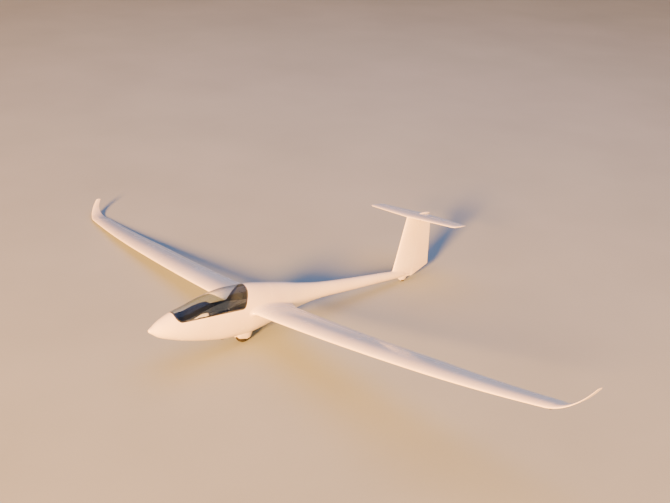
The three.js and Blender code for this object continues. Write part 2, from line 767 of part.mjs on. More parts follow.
// Hub: a barrel with a sunken disc on each side and a bore for the axle.
function hub(wheel, bore) {
  const outer = wheel.rim - JOIN_GAP;
  const half = wheel.rimWidth / 2;
  const profile = [
    [bore, -0.8 * half],
    [bore + 0.28 * outer, -0.8 * half],
    [bore + 0.34 * outer, -0.3 * half],
    [0.84 * outer, -0.3 * half],
    [0.88 * outer, -half],
    [outer, -half],
    [outer, half],
    [0.88 * outer, half],
    [0.84 * outer, 0.3 * half],
    [bore + 0.34 * outer, 0.3 * half],
    [bore + 0.28 * outer, 0.8 * half],
    [bore, 0.8 * half],
    [bore, -0.8 * half],
  ].map(([r, s]) => new THREE.Vector2(r, s));
  return new THREE.LatheGeometry(profile, 36).rotateZ(-Math.PI / 2).translate(0, wheel.y, wheel.z);
}

// A leg plate beside the wheel, from the axle to the roof of the well.
const LEG = { x: 60, thick: 8, width: 44 };
function leg() {
  const roof = solidOf(
    crossBar(MAIN_WHEEL.radius + WELL_CLEARANCE - JOIN_GAP, 400, 0, MAIN_WHEEL.y, MAIN_WHEEL.z, 40),
  );
  const foot = MAIN_WHEEL.z - LEG.width / 2;
  return solidOf(block(LEG.x, MAIN_WHEEL.y, foot + 125, LEG.thick, LEG.width, 250))
    .intersect(roof)
    .subtract(solidOf(crossBar(AXLE + JOIN_GAP, 40, LEG.x, MAIN_WHEEL.y, MAIN_WHEEL.z)));
}

// Cockpit furniture

// A bent strip seen from the side, thick to its upper side and as wide as 2 * half.
function strip(line, thick, half, centre = 0) {
  const upper = line.map(([y, z], i) => {
    const [ya, za] = line[Math.max(i - 1, 0)];
    const [yb, zb] = line[Math.min(i + 1, line.length - 1)];
    const length = Math.hypot(yb - ya, zb - za);
    return [y - ((zb - za) / length) * thick, z + ((yb - ya) / length) * thick];
  });
  return sideSlab([...line, ...upper.reverse()], half, centre);
}
// What of a solid lies in the cockpit, a hair's breadth off its walls.
const cabinRoom = fuselageBody(CABIN_STATIONS, SKIN + JOIN_GAP, 28).intersect(
  solidOf(sideSlab(inset(COCKPIT, JOIN_GAP), 400)),
);
const inCabin = (shape) => solidOf(shape).intersect(cabinRoom);

const SEAT_LINE = [
  [880, -262],
  [1000, -238],
  [1120, -262],
  [1240, -305],
  [1330, -318],
];
const BACK_LINE = [
  [1346, -330],
  [1420, -262],
  [1500, -150],
  [1600, 20],
  [1660, 130],
];
const FLOOR_LINE = [
  [420, -176],
  [640, -235],
  [876, -268],
];
const FLOOR_TOP = 8.4; // the floor's thickness straight up, with the gap over it
const onFloor = (y) => [y, reading(FLOOR_LINE, y) + FLOOR_TOP];
const PANEL = { y: 1120, z: 140, width: 330, height: 190, thick: 14, lean: 18 };
function panel() {
  return new THREE.BoxGeometry(PANEL.width, PANEL.thick, PANEL.height)
    .rotateX(THREE.MathUtils.degToRad(PANEL.lean))
    .translate(0, PANEL.y, PANEL.z);
}
// The hood over the instruments, which runs forward under the glass and overhangs the panel.
// Rows: station aft, half width, top, bottom
const COWL = [
  [570, 150, 92, 60],
  [700, 178, 148, 84],
  [850, 190, 204, 110],
  [1000, 194, 244, 132],
  [1165, 188, 262, 160],
];
function cowl() {
  const sides = 16;
  const hood = loft(
    COWL.map(([y, half, high, low]) =>
      Array.from({ length: sides }, (_, k) => {
        const angle = ((k + 0.5) / sides) * 2 * Math.PI;
        const squared = (v) => Math.sign(v) * Math.abs(v) ** 0.7;
        return new THREE.Vector3(
          half * squared(Math.cos(angle)),
          y,
          (high + low) / 2 + ((high - low) / 2) * squared(Math.sin(angle)),
        );
      }),
    ),
  );
  const lean = THREE.MathUtils.degToRad(PANEL.lean);
  const behind = new THREE.BoxGeometry(500, 300, 400)
    .translate(0, 150 - PANEL.thick / 2 - JOIN_GAP, PANEL.height / 2 + JOIN_GAP - 200)
    .rotateX(lean)
    .translate(0, PANEL.y, PANEL.z);
  return solidOf(hood).subtract(solidOf(behind));
}
const PEDESTAL = [
  onFloor(800),
  onFloor(868),
  [1090, -60],
  [1139.9, 55],
  [1123.7, 105],
  [1020, 90],
  [880, -60],
];
const STICK_LINE = [
  [0, 1212, -280],
  [0, 1208, -160],
  [0, 1200, -60],
  [0, 1206, 8],
];
function stick() {
  const path = new THREE.CatmullRomCurve3(STICK_LINE.map((p) => new THREE.Vector3(...p)));
  const ring = new THREE.Shape().absarc(0, 0, 11, 0, 2 * Math.PI);
  return new THREE.ExtrudeGeometry(ring, { steps: 8, curveSegments: 5, bevelEnabled: false, extrudePath: path });
}
const PEDAL = { x: 80, half: 40 };
const PEDAL_OUTLINE = [onFloor(512), onFloor(526), [488, -58], [474, -62]];
// Side rails of the cockpit, on its walls; the levers stand on the port one.
const RAIL = { x: 172, y: 1120, length: 440, z: -78, height: 36 };
const rail = inCabin(block(RAIL.x + 100, RAIL.y, RAIL.z, 200, RAIL.length, RAIL.height));
function lever(y, height, knob) {
  const foot = RAIL.z + RAIL.height / 2 + JOIN_GAP;
  const arm = solidOf(block(196, y, foot + height / 2, 8, 14, height));
  const grip = new THREE.CylinderGeometry(knob, knob, 70, 12).rotateX(Math.PI / 2);
  return arm.add(solidOf(grip.translate(190, y, foot + height)));
}
// The headrest leans on the bulkhead behind the canopy.
const HEADREST = { y: 1792.7, z: 300.8, width: 170, height: 120, thick: 36, lean: -15.35 };
function headrest() {
  return new THREE.BoxGeometry(HEADREST.width, HEADREST.thick, HEADREST.height)
    .rotateX(THREE.MathUtils.degToRad(HEADREST.lean))
    .translate(0, HEADREST.y, HEADREST.z);
}
const HOOK = { y: 1440, width: 26, length: 70, depth: 22 };
function towHook() {
  const belly = smoothReading(FUSELAGE, HOOK.y, 2);
  return solidOf(block(0, HOOK.y, belly, HOOK.width, HOOK.length, 2 * HOOK.depth)).subtract(
    fuselageBody([1300, 1400, 1500, 1600], -JOIN_GAP, 36),
  );
}
// A canopy hinge: a knuckle on the hinge line and the bracket that carries it from the skin.
function canopyHinge(y) {
  const z = canopyAxisHeight(y);
  const knuckle = new THREE.CylinderGeometry(HINGE.knuckle, HINGE.knuckle, HINGE.length, 16);
  return solidOf(knuckle.translate(CANOPY_AXIS[0][0], y, z))
    .add(solidOf(block(CANOPY_AXIS[0][0] + 20, y, z - 9, 50, HINGE.length, 12)))
    .subtract(fuselageBody([900, 1100, 1300, 1500, 1700, 1850], -JOIN_GAP, 36));
}

// Assembly

const aircraft = new THREE.Group();
const meshes = {};
function add(name, shape, material, mirrored = false) {
  const geometry = shape.isBufferGeometry ? shape : geometryOf(shape);
  const mesh = new THREE.Mesh(geometry, material);
  mesh.name = name;
  if (mirrored) mesh.scale.x = -1;
  aircraft.add(mesh);
  meshes[name] = mesh;
  return mesh;
}
function addPair(name, shape, material) {
  add(name + "_port", shape, material);
  add(name + "_starboard", shape, material, true);
}

add("fuselage_nose", podNose, gelcoat);
add("cockpit_shell_port", podSide(1), gelcoat);
add("cockpit_shell_starboard", podSide(-1), gelcoat);
add("fuselage_centre", podCentre, gelcoat);
add("tail_boom", boomCut, gelcoat);
add("fin", fin, gelcoat);
add("rudder", rudder, gelcoat);
add("stabiliser", stabiliser, gelcoat);
addPair("elevator", elevator, gelcoat);
add("elevator_drive_fairing", topFairingBody(), gelcoat);
addPair("wing", wing, gelcoat);
addPair("winglet", winglet, gelcoat);
for (const [name, shape] of flaperons) addPair("flaperon_" + name, shape, gelcoat);
addPair("airbrake", airbrake, gelcoat);
addPair("wing_tip_skid", tipSkid()[0], rubber);
add("canopy_glass", canopyGlass, glass);
add("canopy_frame", canopyFrame, frameBlack);
add("main_wheel_fairing", mainFairing, gelcoat);
add("main_tyre", tyre(MAIN_WHEEL), rubber);
add("main_hub", hub(MAIN_WHEEL, AXLE + 0.5), alloy);
add("main_axle", crossBar(AXLE, 2 * (LEG.x + LEG.thick), 0, MAIN_WHEEL.y, MAIN_WHEEL.z), steel);
addPair("main_leg", leg(), steel);
add("tail_wheel_fairing", tailFairing, gelcoat);
add("tail_tyre", tyre(TAIL_WHEEL), rubber);
add("tail_hub", hub(TAIL_WHEEL, TAIL_AXLE + 0.4), alloy);
add("tail_axle", crossBar(TAIL_AXLE, TAIL_WHEEL.width + 9.4, 0, TAIL_WHEEL.y, TAIL_WHEEL.z, 16), steel);
add("tow_hook", towHook(), steel);
add("seat_pan", inCabin(strip(SEAT_LINE, 10, 260)), cushionFabric);
add("seat_back", inCabin(strip(BACK_LINE, 12, 165)), cushionFabric);
add("headrest", headrest(), cushionFabric);
add("cockpit_floor", inCabin(strip(FLOOR_LINE, 8, 240)), trimGrey);
add("instrument_panel", panel(), frameBlack);
add("instrument_cowl", cowl(), trimGrey);
add("instrument_pedestal", sideSlab(PEDESTAL, 60), trimGrey);
add("control_stick", stick(), frameBlack);
addPair("rudder_pedal", sideSlab(PEDAL_OUTLINE, PEDAL.half, PEDAL.x), steel);
addPair("side_rail", rail, trimGrey);
add("airbrake_lever", lever(1080, 90, 13), blueKnob);
add("flap_lever", lever(1230, 72, 11), frameBlack);
HINGE.stations.forEach((y, i) => add(`canopy_hinge_${["front", "rear"][i]}`, canopyHinge(y), steel));

const parked = new THREE.Group();
parked.add(aircraft);

// Rolls and pitches the aircraft until the lowest points of its three feet lie in one level plane.
function standOn(feet) {
  const up = new THREE.Vector3(0, 0, 1);
  for (let round = 0; round < 20; round++) {
    parked.updateMatrixWorld(true);
    const touch = feet.map((name) => {
      const mesh = meshes[name];
      const position = mesh.geometry.getAttribute("position");
      let lowest = null;
      for (let i = 0; i < position.count; i++) {
        const local = new THREE.Vector3().fromBufferAttribute(position, i).applyMatrix4(mesh.matrix);
        const height = local.clone().applyQuaternion(aircraft.quaternion).z;
        if (!lowest || height < lowest.height) lowest = { local, height };
      }
      return lowest.local;
    });
    const normal = touch[1].clone().sub(touch[0]).cross(touch[2].clone().sub(touch[0])).normalize();
    if (normal.z < 0) normal.negate();
    aircraft.quaternion.setFromUnitVectors(normal, up);
  }
}
standOn(["main_tyre", "tail_tyre", "wing_tip_skid_starboard"]);

// The origin is on the ground, under the middle of the standing aircraft's box.
parked.updateMatrixWorld(true);
const extent = new THREE.Box3().setFromObject(parked, true);
const middle = extent.getCenter(new THREE.Vector3());
aircraft.position.set(-middle.x, -middle.y, -extent.min.z);

// Hinge lines and slides in the aircraft's own axes, for whoever joins the moving pieces.
aircraft.userData.axes = {
  rudder: RUDDER_AXIS,
  elevator: elevatorAxis,
  flaperon_inner: flaperonAxes[0],
  flaperon_outer: flaperonAxes[1],
  canopy: CANOPY_AXIS,
  main_wheel: [MAIN_WHEEL.y, MAIN_WHEEL.z],
  tail_wheel: [TAIL_WHEEL.y, TAIL_WHEEL.z],
  airbrake_slope: brakePlace.slope,
};

export default parked;
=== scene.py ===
import json
import math

import bpy
import numpy as np
from mathutils import Matrix, Vector


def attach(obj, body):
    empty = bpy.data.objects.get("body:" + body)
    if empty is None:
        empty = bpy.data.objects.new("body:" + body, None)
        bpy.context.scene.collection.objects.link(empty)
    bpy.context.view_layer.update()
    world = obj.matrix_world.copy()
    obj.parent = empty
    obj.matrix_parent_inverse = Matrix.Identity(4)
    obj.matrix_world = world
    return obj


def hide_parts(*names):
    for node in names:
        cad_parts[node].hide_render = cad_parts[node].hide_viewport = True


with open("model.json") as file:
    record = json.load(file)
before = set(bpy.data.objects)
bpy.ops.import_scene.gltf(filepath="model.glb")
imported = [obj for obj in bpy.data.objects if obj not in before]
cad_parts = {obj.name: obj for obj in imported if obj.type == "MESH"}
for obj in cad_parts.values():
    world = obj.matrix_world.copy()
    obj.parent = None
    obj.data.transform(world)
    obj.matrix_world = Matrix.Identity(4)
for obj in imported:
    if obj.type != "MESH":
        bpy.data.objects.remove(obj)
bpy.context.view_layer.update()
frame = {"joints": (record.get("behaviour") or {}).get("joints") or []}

# Looks of a single-seat T-tail sailplane standing parked.
# Shapes are worked out in the aircraft's own axes in mm: x to port, y aft from the nose tip, z up.

joints = {j["name"]: j for j in frame["joints"]}

# how the parked aircraft's axes lie in the row frame, from its two wheels
wheelMarks = dict(mainAft=1865, mainUp=-397, tailAft=5700, tailUp=13)


def parkedAxes():
    # x is the wheels' axis; the line from main to tail wheel leans by atan(rise / run) in the y z plane
    x = np.array(joints["main_wheel_spin"]["axis"])
    main = np.array(joints["main_wheel_spin"]["pos_m"])
    line = np.array(joints["tail_wheel_spin"]["pos_m"]) - main
    line /= np.linalg.norm(line)
    lean = math.atan2(wheelMarks["tailUp"] - wheelMarks["mainUp"],
                      wheelMarks["tailAft"] - wheelMarks["mainAft"])
    across = np.cross(x, line)
    y = math.cos(lean) * line - math.sin(lean) * across
    z = math.sin(lean) * line + math.cos(lean) * across
    origin = main - (wheelMarks["mainAft"] * y + wheelMarks["mainUp"] * z) / 1000
    return np.array([x, y, z]), origin


axes, noseTip = parkedAxes()


def toRow(points):  # aircraft mm to row frame metres
    return np.asarray(points, float) / 1000 @ axes + noseTip


# Mesh helpers: grids of points in, Blender objects out

def volumeOf(points, faces):  # six times the signed volume, by fans of triangles
    a, b, c = (points[faces[:, k]] for k in (0, 1, 2))
    total = np.einsum("ij,ij->", a, np.cross(b, c))
    if faces.shape[1] == 4:
        total += np.einsum("ij,ij->", a, np.cross(c, points[faces[:, 3]]))
    return total


def outward(points, faces):
    return (points, faces if volumeOf(points, faces) > 0 else faces[:, ::-1])


def wrapGrid(grid):  # quads between neighbouring rows, each row a closed loop
    rows, n = grid.shape[:2]
    a = (np.arange(rows - 1)[:, None] * n + np.arange(n)[None, :]).ravel()
    b = (np.arange(rows - 1)[:, None] * n + (np.arange(n)[None, :] + 1) % n).ravel()
    return np.stack([a, b, b + n, a + n], 1)


def closedSkin(grid):  # a skin through loops, closed at both ends by strips across the loop
    rows, n = grid.shape[:2]
    j = np.arange(n // 2 - 1)
    last = (rows - 1) * n
    start = np.stack([j, n - 1 - j, n - 2 - j, j + 1], 1)
    end = np.stack([last + j, last + j + 1, last + n - 2 - j, last + n - 1 - j], 1)
    return outward(grid.reshape(-1, 3), np.concatenate([wrapGrid(grid), start, end]))


def ringSkin(grid):  # loops that also join the last row to the first
    again = np.concatenate([grid, grid[:1]])
    rows, n = grid.shape[:2]
    faces = wrapGrid(again) % (rows * n)
    return outward(grid.reshape(-1, 3), faces)


def sheetSolid(lower, upper):  # two grids of one shape, joined round their rim
    rows, n = lower.shape[:2]
    size = rows * n
    a = (np.arange(rows - 1)[:, None] * n + np.arange(n - 1)[None, :]).ravel()
    low = np.stack([a, a + n, a + n + 1, a + 1], 1)
    high = np.stack([a, a + 1, a + n + 1, a + n], 1) + size
    i, k = np.arange(n - 1), np.arange(rows - 1) * n
    rims = []
    last, far = (rows - 1) * n + i, k + n - 1
    for e, f, flip in ((i, i + 1, 0), (last, last + 1, 1), (k, k + n, 1), (far, far + n, 0)):
        side = np.stack([e, f, f + size, e + size], 1)
        rims.append(side[:, ::-1] if flip else side)
    points = np.concatenate([lower.reshape(-1, 3), upper.reshape(-1, 3)])
    return outward(points, np.concatenate([low, high, *rims]))


def together(*parts):  # several closed skins in one mesh
    points, faces, start = [], [], 0
    for p, f in parts:
        points.append(p)
        faces += [[v + start for v in face] for face in (f.tolist() if isinstance(f, np.ndarray) else f)]
        start += len(p)
    return np.concatenate(points), faces


def mirrored(part):
    points, faces = part
    faces = faces[:, ::-1] if isinstance(faces, np.ndarray) else [f[::-1] for f in faces]
    return points * (-1, 1, 1), faces


def rawObject(name, part):
    points, faces = part
    mesh = bpy.data.meshes.new(name)
    mesh.from_pydata(np.asarray(points).tolist(), [],
                     faces.tolist() if isinstance(faces, np.ndarray) else faces)
    return linked(name, mesh)


def linked(name, data):  # an object on the scene that holds the data
    obj = bpy.data.objects.new(name, data)
    bpy.context.scene.collection.objects.link(obj)
    return obj


def bake(obj):  # the modifiers' result becomes the object's mesh
    graph = bpy.context.evaluated_depsgraph_get()
    mesh = bpy.data.meshes.new_from_object(obj.evaluated_get(graph))
    obj.modifiers.clear()
    obj.data = mesh


def carve(obj, tools, how="DIFFERENCE"):  # Booleans with each tool in turn; the tools are used up
    for tool in tools:
        cut = obj.modifiers.new("cut", "BOOLEAN")
        cut.operation, cut.object, cut.solver = how, tool, "MANIFOLD"
        bake(obj)
        bpy.data.objects.remove(tool)
    return obj


def readRows(items, key):  # three numbers of each vertex or face
    values = np.zeros(len(items) * 3, np.float32)
    items.foreach_get(key, values)
    return values.reshape(-1, 3).astype(float)


def writePoints(mesh, points):
    mesh.vertices.foreach_set("co", points.astype(np.float32).ravel())
    mesh.update()


def finished(obj, body, finishes, slot=None, stands=(), sharp=32, pick=None):
    # from aircraft mm to the row frame; pick(face centres) says which finish each face has
    mesh = obj.data
    mesh.materials.clear()
    for finish in finishes if isinstance(finishes, (list, tuple)) else [finishes]:
        mesh.materials.append(finish)
    if pick is not None:
        which = pick(readRows(mesh.polygons, "center"))
        mesh.polygons.foreach_set("material_index", which.astype(np.int32))
    writePoints(mesh, toRow(readRows(mesh.vertices, "co")))
    mesh.shade_smooth()
    mesh.set_sharp_from_angle(angle=math.radians(sharp))
    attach(obj, body)
    if stands:
        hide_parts(*stands)
    return obj


def piece(name, part, body, finishes, **more):
    return finished(rawObject(name, part), body, finishes, **more)


def bothSides(name, part, body, finishes, stands=None, edges=0, **more):
    # the port piece and its mirror image; {} in a body's name takes the side
    for side, each in (("port", part), ("starboard", mirrored(part))):
        nodes = (f"{stands}_{side}",) if stands else ()
        obj = piece(f"{name}_{side}", each, body.format(side), finishes, stands=nodes, **more)
        if edges:
            eased(obj, edges)


def smoothLine(points, count):  # Catmull-Rom spline through points, evenly stepped in its parameter
    p = np.asarray(points, float)
    p = np.concatenate([[2 * p[0] - p[1]], p, [2 * p[-1] - p[-2]]])
    s = np.linspace(0, len(p) - 3, count)
    i = np.minimum(s.astype(int), len(p) - 4)
    t = (s - i)[:, None]
    a, b, c, d = p[i], p[i + 1], p[i + 2], p[i + 3]
    return 0.5 * (2 * b + (c - a) * t + (2 * a - 5 * b + 4 * c - d) * t**2 + (3 * b - a - 3 * c + d) * t**3)


def tube(path, across, up, section):
    # profile carried along a path: point = path + across * u + up * v, with (u, v) the section's loop
    path = np.asarray(path, float)
    along = np.gradient(path, axis=0)
    along /= np.linalg.norm(along, axis=1, keepdims=True)
    side = np.cross(along, up)
    side /= np.linalg.norm(side, axis=1, keepdims=True)
    rise = np.cross(side, along)
    u, v = section[..., 0], section[..., 1]
    if section.ndim == 2:
        u, v = u[None, :], v[None, :]
    return path[:, None] + side[:, None] * u[..., None] * across + rise[:, None] * v[..., None]


def ringAngles(count):  # round a full turn, half a step off the axes
    return (np.arange(count) + 0.5) / count * 2 * np.pi


def circle(radius, count):
    t = ringAngles(count)
    return np.stack([radius * np.cos(t), radius * np.sin(t)], 1)


def gridOf(x, y, z):  # points from three arrays that stretch to one shape
    return np.stack(np.broadcast_arrays(x, y, z), 2)


def squared(v, power):  # a sine or a cosine drawn towards a square
    return np.sign(v) * np.abs(v) ** power


def lathe(profile, centre, count):
    # (radius, along x) pairs turned about the x axis: y = r cos t, z = r sin t
    r, x = np.asarray(profile, float).T
    t = np.arange(count) / count * 2 * np.pi
    y, z = r[None] * np.cos(t)[:, None], r[None] * np.sin(t)[:, None]
    return ringSkin(gridOf(x, y, z) + np.asarray(centre, float))


def sideSlab(outline, half, centre=0):  # a side outline (aft, up) made 2 * half wide
    p = np.asarray(outline, float)
    n = len(p)
    left = np.column_stack([np.full(n, centre - half), p])
    right = np.column_stack([np.full(n, centre + half), p])
    k = np.arange(n)
    sides = np.stack([k, (k + 1) % n, (k + 1) % n + n, k + n], 1).tolist()
    area = np.sum(p[:, 0] * np.roll(p[:, 1], -1) - np.roll(p[:, 0], -1) * p[:, 1])
    faces = sides + [list(range(n))[::-1], list(range(n, 2 * n))]
    if area < 0:
        faces = [f[::-1] for f in faces]
    # with x to the right, y away and z up, the face at the low x end looks to -x
    return np.concatenate([left, right]), faces


def inset(outline, d):  # a closed outline moved inwards by d, edge by edge
    p = np.asarray(outline, float)
    q = np.roll(p, -1, axis=0)
    turn = np.sign(np.sum(p[:, 0] * q[:, 1] - q[:, 0] * p[:, 1]))
    u = (q - p) / np.linalg.norm(q - p, axis=1, keepdims=True)
    start = p + np.column_stack([-u[:, 1], u[:, 0]]) * d * turn
    before, dirBefore = np.roll(start, 1, axis=0), np.roll(u, 1, axis=0)
    cross = dirBefore[:, 0] * u[:, 1] - dirBefore[:, 1] * u[:, 0]
    gap = start - before
    t = (gap[:, 0] * u[:, 1] - gap[:, 1] * u[:, 0]) / np.where(np.abs(cross) < 1e-6, 1, cross)
    return np.where(np.abs(cross)[:, None] < 1e-6, start, before + dirBefore * t[:, None])


def rounded(outline, cut, steps=7):
    # each corner p becomes the curve (1 - t)^2 a + 2 t (1 - t) p + t^2 b, with a and b on its two edges
    p = np.asarray(outline, float)
    out = []
    for before, here, after in zip(np.roll(p, 1, axis=0), p, np.roll(p, -1, axis=0)):
        back, ahead = before - here, after - here
        sizes = np.linalg.norm(back), np.linalg.norm(ahead)
        a, b = (here + v / n * min(cut, 0.48 * n) for v, n in zip((back, ahead), sizes))
        t = np.linspace(0, 1, steps)[:, None]
        out.append((1 - t) ** 2 * a + 2 * t * (1 - t) * here + t**2 * b)
    return np.concatenate(out)


def placed(part, centre, across, along, up):  # a part in its own x, y, z, set on three axes at a centre
    points, faces = part
    return np.asarray(centre, float) + points @ np.array([across, along, up], float), faces


def pushed(grid, distance):  # loops round a section moved out along the skin's own normals
    normal = np.cross(np.gradient(grid, axis=0), np.gradient(grid, axis=1))
    normal /= np.linalg.norm(normal, axis=2, keepdims=True)
    side = np.sign(np.sum(normal * (grid - grid.mean(axis=1, keepdims=True))))
    return grid + normal * side * distance


def eased(obj, widthMm, segments=2):  # edges broken by a small bevel
    bevel = obj.modifiers.new("edges", "BEVEL")
    bevel.width, bevel.segments, bevel.limit_method = widthMm / 1000, segments, "ANGLE"
    bevel.angle_limit = math.radians(40)
    return obj


def boxSolid(centre, size):
    c, h = np.asarray(centre, float), np.asarray(size, float) / 2
    s = np.array([[x, y, z] for z in (-1, 1) for x, y in ((-1, -1), (1, -1), (1, 1), (-1, 1))])
    faces = np.array([[0, 3, 2, 1], [4, 5, 6, 7], [0, 1, 5, 4], [1, 2, 6, 5], [2, 3, 7, 6], [3, 0, 4, 7]])
    return c + s * h, faces


# Materials

def linear(hexColour):  # sRGB hex to linear
    c = np.array([int(hexColour[i:i + 2], 16) / 255 for i in (1, 3, 5)])
    c = np.where(c <= 0.04045, c / 12.92, ((c + 0.055) / 1.055) ** 2.4)
    return (*c.tolist(), 1.0)


def addNode(tree, kind, links=None, **settings):
    # settings name attributes or input sockets (spaces as _); links give a socket to join to each input
    node = tree.nodes.new(kind)
    for key, value in settings.items():
        if hasattr(node, key):
            setattr(node, key, value)
        else:
            node.inputs[key.replace("_", " ")].default_value = value
    for key, source in (links or {}).items():
        tree.links.new(source, node.inputs[key])
    return node


def newMaterial(name):
    mat = bpy.data.materials.new(name)
    mat.use_nodes = True
    tree = mat.node_tree
    tree.nodes.clear()
    out = addNode(tree, "ShaderNodeOutputMaterial")
    skin = addNode(tree, "ShaderNodeBsdfPrincipled")
    tree.links.new(skin.outputs[0], out.inputs[0])
    place = addNode(tree, "ShaderNodeTexCoord").outputs["Object"]
    return mat, tree, skin, place


def mottle(tree, place, perMetre, low, high, detail=3.0, rough=0.5):
    # noise with that many cells a metre, read from low to high
    noise = addNode(tree, "ShaderNodeTexNoise", {"Vector": place}, Scale=perMetre, Detail=detail,
                    Roughness=rough)
    return addNode(tree, "ShaderNodeMapRange", {"Value": noise.outputs["Fac"]}, From_Min=0.3, From_Max=0.7,
                   To_Min=low, To_Max=high).outputs[0]


def blendColours(tree, share, first, second):
    mix = addNode(tree, "ShaderNodeMix", data_type="RGBA")
    tree.links.new(share, mix.inputs["Factor"])
    for key, colour in (("A", first), ("B", second)):
        socket = [s for s in mix.inputs if s.name == key and s.type == "RGBA"][0]
        if isinstance(colour, str):
            socket.default_value = linear(colour)
        else:
            tree.links.new(colour, socket)
    return [s for s in mix.outputs if s.type == "RGBA"][0]


def bumpFrom(tree, height, depthMm, strength=1.0):
    return addNode(tree, "ShaderNodeBump", {"Height": height}, Strength=strength,
                   Distance=depthMm / 1000).outputs[0]


# polyester gelcoat, moulded and polished: deep white gloss, faint waviness, and low down a darker tan tone
# that is partly a film of dust and partly painted shade
gelcoatLook = dict(white="#F6F2E5", warm="#F1E9D8", dustAndShade="#D8CDBA", dustAndShadeTop=0.36, dustAndShadeBottom=0.16,
                   dustAndShadeMost=0.55, waviness=0.05, coat=0.2, coatRough=0.14, ior=1.5)


def makeGelcoat(name, look):
    mat, tree, skin, place = newMaterial(name)
    height = addNode(tree, "ShaderNodeSeparateXYZ", {"Vector": place}).outputs["Z"]
    # darker towards the bottom, in patches: partly dust, partly painted shade under the belly and the wheel
    # fairing
    low = addNode(tree, "ShaderNodeMapRange", {"Value": height}, From_Min=look["dustAndShadeTop"],
                  From_Max=look["dustAndShadeBottom"], To_Min=0.0, To_Max=look["dustAndShadeMost"]).outputs[0]
    patches = mottle(tree, place, 9, 0.4, 1.0)
    patchy = addNode(tree, "ShaderNodeMath", {0: low, 1: patches}, operation="MULTIPLY").outputs[0]
    tone = blendColours(tree, mottle(tree, place, 1.6, 0.0, 1.0), look["white"], look["warm"])
    tree.links.new(blendColours(tree, patchy, tone, look["dustAndShade"]), skin.inputs["Base Color"])
    tree.links.new(mottle(tree, place, 5, 0.22, 0.28, 1.0), skin.inputs["Roughness"])
    waves = mottle(tree, place, 2.5, 0.0, 1.0, 0.0)
    tree.links.new(bumpFrom(tree, waves, look["waviness"]), skin.inputs["Normal"])
    skin.inputs["Coat Weight"].default_value = look["coat"]
    skin.inputs["Coat Roughness"].default_value = look["coatRough"]
    skin.inputs["IOR"].default_value = look["ior"]
    return mat


gelcoat = makeGelcoat("gelcoat_polished", gelcoatLook)


# one maker of mottled finishes: two tones, a roughness range, a bump of a given grain
def makeFinish(name, light, dark, rough, grainMm, depthMm, metal=0.0, sheen=0.0, ior=1.5, coat=0.0,
               patch=3.0):
    mat, tree, skin, place = newMaterial(name)
    grain = 1000 / grainMm
    share = mottle(tree, place, patch, 0.0, 1.0, 4.0)
    tree.links.new(blendColours(tree, share, light, dark), skin.inputs["Base Color"])
    tree.links.new(mottle(tree, place, grain / 3, rough[0], rough[1]), skin.inputs["Roughness"])
    tree.links.new(bumpFrom(tree, mottle(tree, place, grain, 0.0, 1.0, 2.0), depthMm), skin.inputs["Normal"])
    skin.inputs["Metallic"].default_value = metal
    skin.inputs["Sheen Weight"].default_value = sheen
    skin.inputs["Coat Weight"].default_value = coat
    if not metal:
        skin.inputs["IOR"].default_value = ior
    return mat


# light and dark tone, roughness range, grain and its depth in mm; the tape is duller than gelcoat
gapTape = makeFinish("vinyl_tape_white", "#EDEBE6", "#E2DFD8", (0.32, 0.45), 2, 0.01, patch=7)
frameBlack = makeFinish("glass_fibre_painted_black", "#17181B", "#232428", (0.4, 0.6), 1.5, 0.04, patch=14)
sealRubber = makeFinish("epdm_seal_rubber", "#141414", "#202020", (0.7, 0.85), 1, 0.05, patch=30)
cockpitGrey = makeFinish("cockpit_paint_speckled_grey", "#24272D", "#191C21", (0.55, 0.72), 1.2, 0.08,
                         ior=1.3, patch=160)
liningFelt = makeFinish("needle_felt_lining", "#24272E", "#1A1D22", (0.85, 1.0), 2, 0.3, sheen=0.02,
                        ior=1.15, patch=80)
trimGrain = makeFinish("abs_grained_dark", "#1D2128", "#15181E", (0.5, 0.66), 1.4, 0.12, ior=1.35, patch=10)
tyreRubber = makeFinish("tyre_rubber_dusty", "#1B1B1B", "#2E2B27", (0.75, 0.92), 3, 0.12, patch=24)
hardRubber = makeFinish("skid_rubber_scuffed", "#1A1A1A", "#35312C", (0.7, 0.9), 4, 0.3, patch=40)
wheelAlloy = makeFinish("aluminium_cast", "#B9BCC0", "#A3A6AA", (0.3, 0.42), 1.5, 0.04, metal=1.0, patch=30)
zincSteel = makeFinish("steel_zinc_plated", "#9A9DA2", "#83868B", (0.32, 0.45), 2, 0.02, metal=1.0, patch=40)
primerGrey = makeFinish("well_primer_matt", "#55585B", "#3E4042", (0.7, 0.85), 3, 0.1, patch=12)
knobBlue = makeFinish("abs_moulded_blue", "#1D4FA0", "#1A458B", (0.3, 0.4), 1, 0.01, patch=40)
panelBlack = makeFinish("powder_coat_black", "#1A1B1E", "#131417", (0.42, 0.55), 0.8, 0.03, patch=40)
dialBlack = makeFinish("dial_face_black", "#0C0D0F", "#121316", (0.18, 0.3), 0.6, 0.004, patch=60)
dialWhite = makeFinish("dial_paint_white", "#E8E6DF", "#D9D7CF", (0.4, 0.5), 0.6, 0.004, patch=60)
gripRubber = makeFinish("grip_rubber_moulded", "#151517", "#1F1F22", (0.6, 0.78), 0.9, 0.06, patch=60)
hoodCloth = makeFinish("flocked_hood_blue_grey", "#14171D", "#0F1217", (0.85, 1.0), 0.8, 0.08, ior=1.12,
                       patch=14)
carbonLook = makeFinish("carbon_laminate_sanded", "#1F2125", "#2A2C31", (0.35, 0.5), 2.5, 0.04, patch=120)
acrylicFrosted = makeFinish("acrylic_scuffed_pale", "#BDB8BE", "#A9A4AC", (0.22, 0.38), 1.5, 0.02, coat=0.3,
                            patch=18)


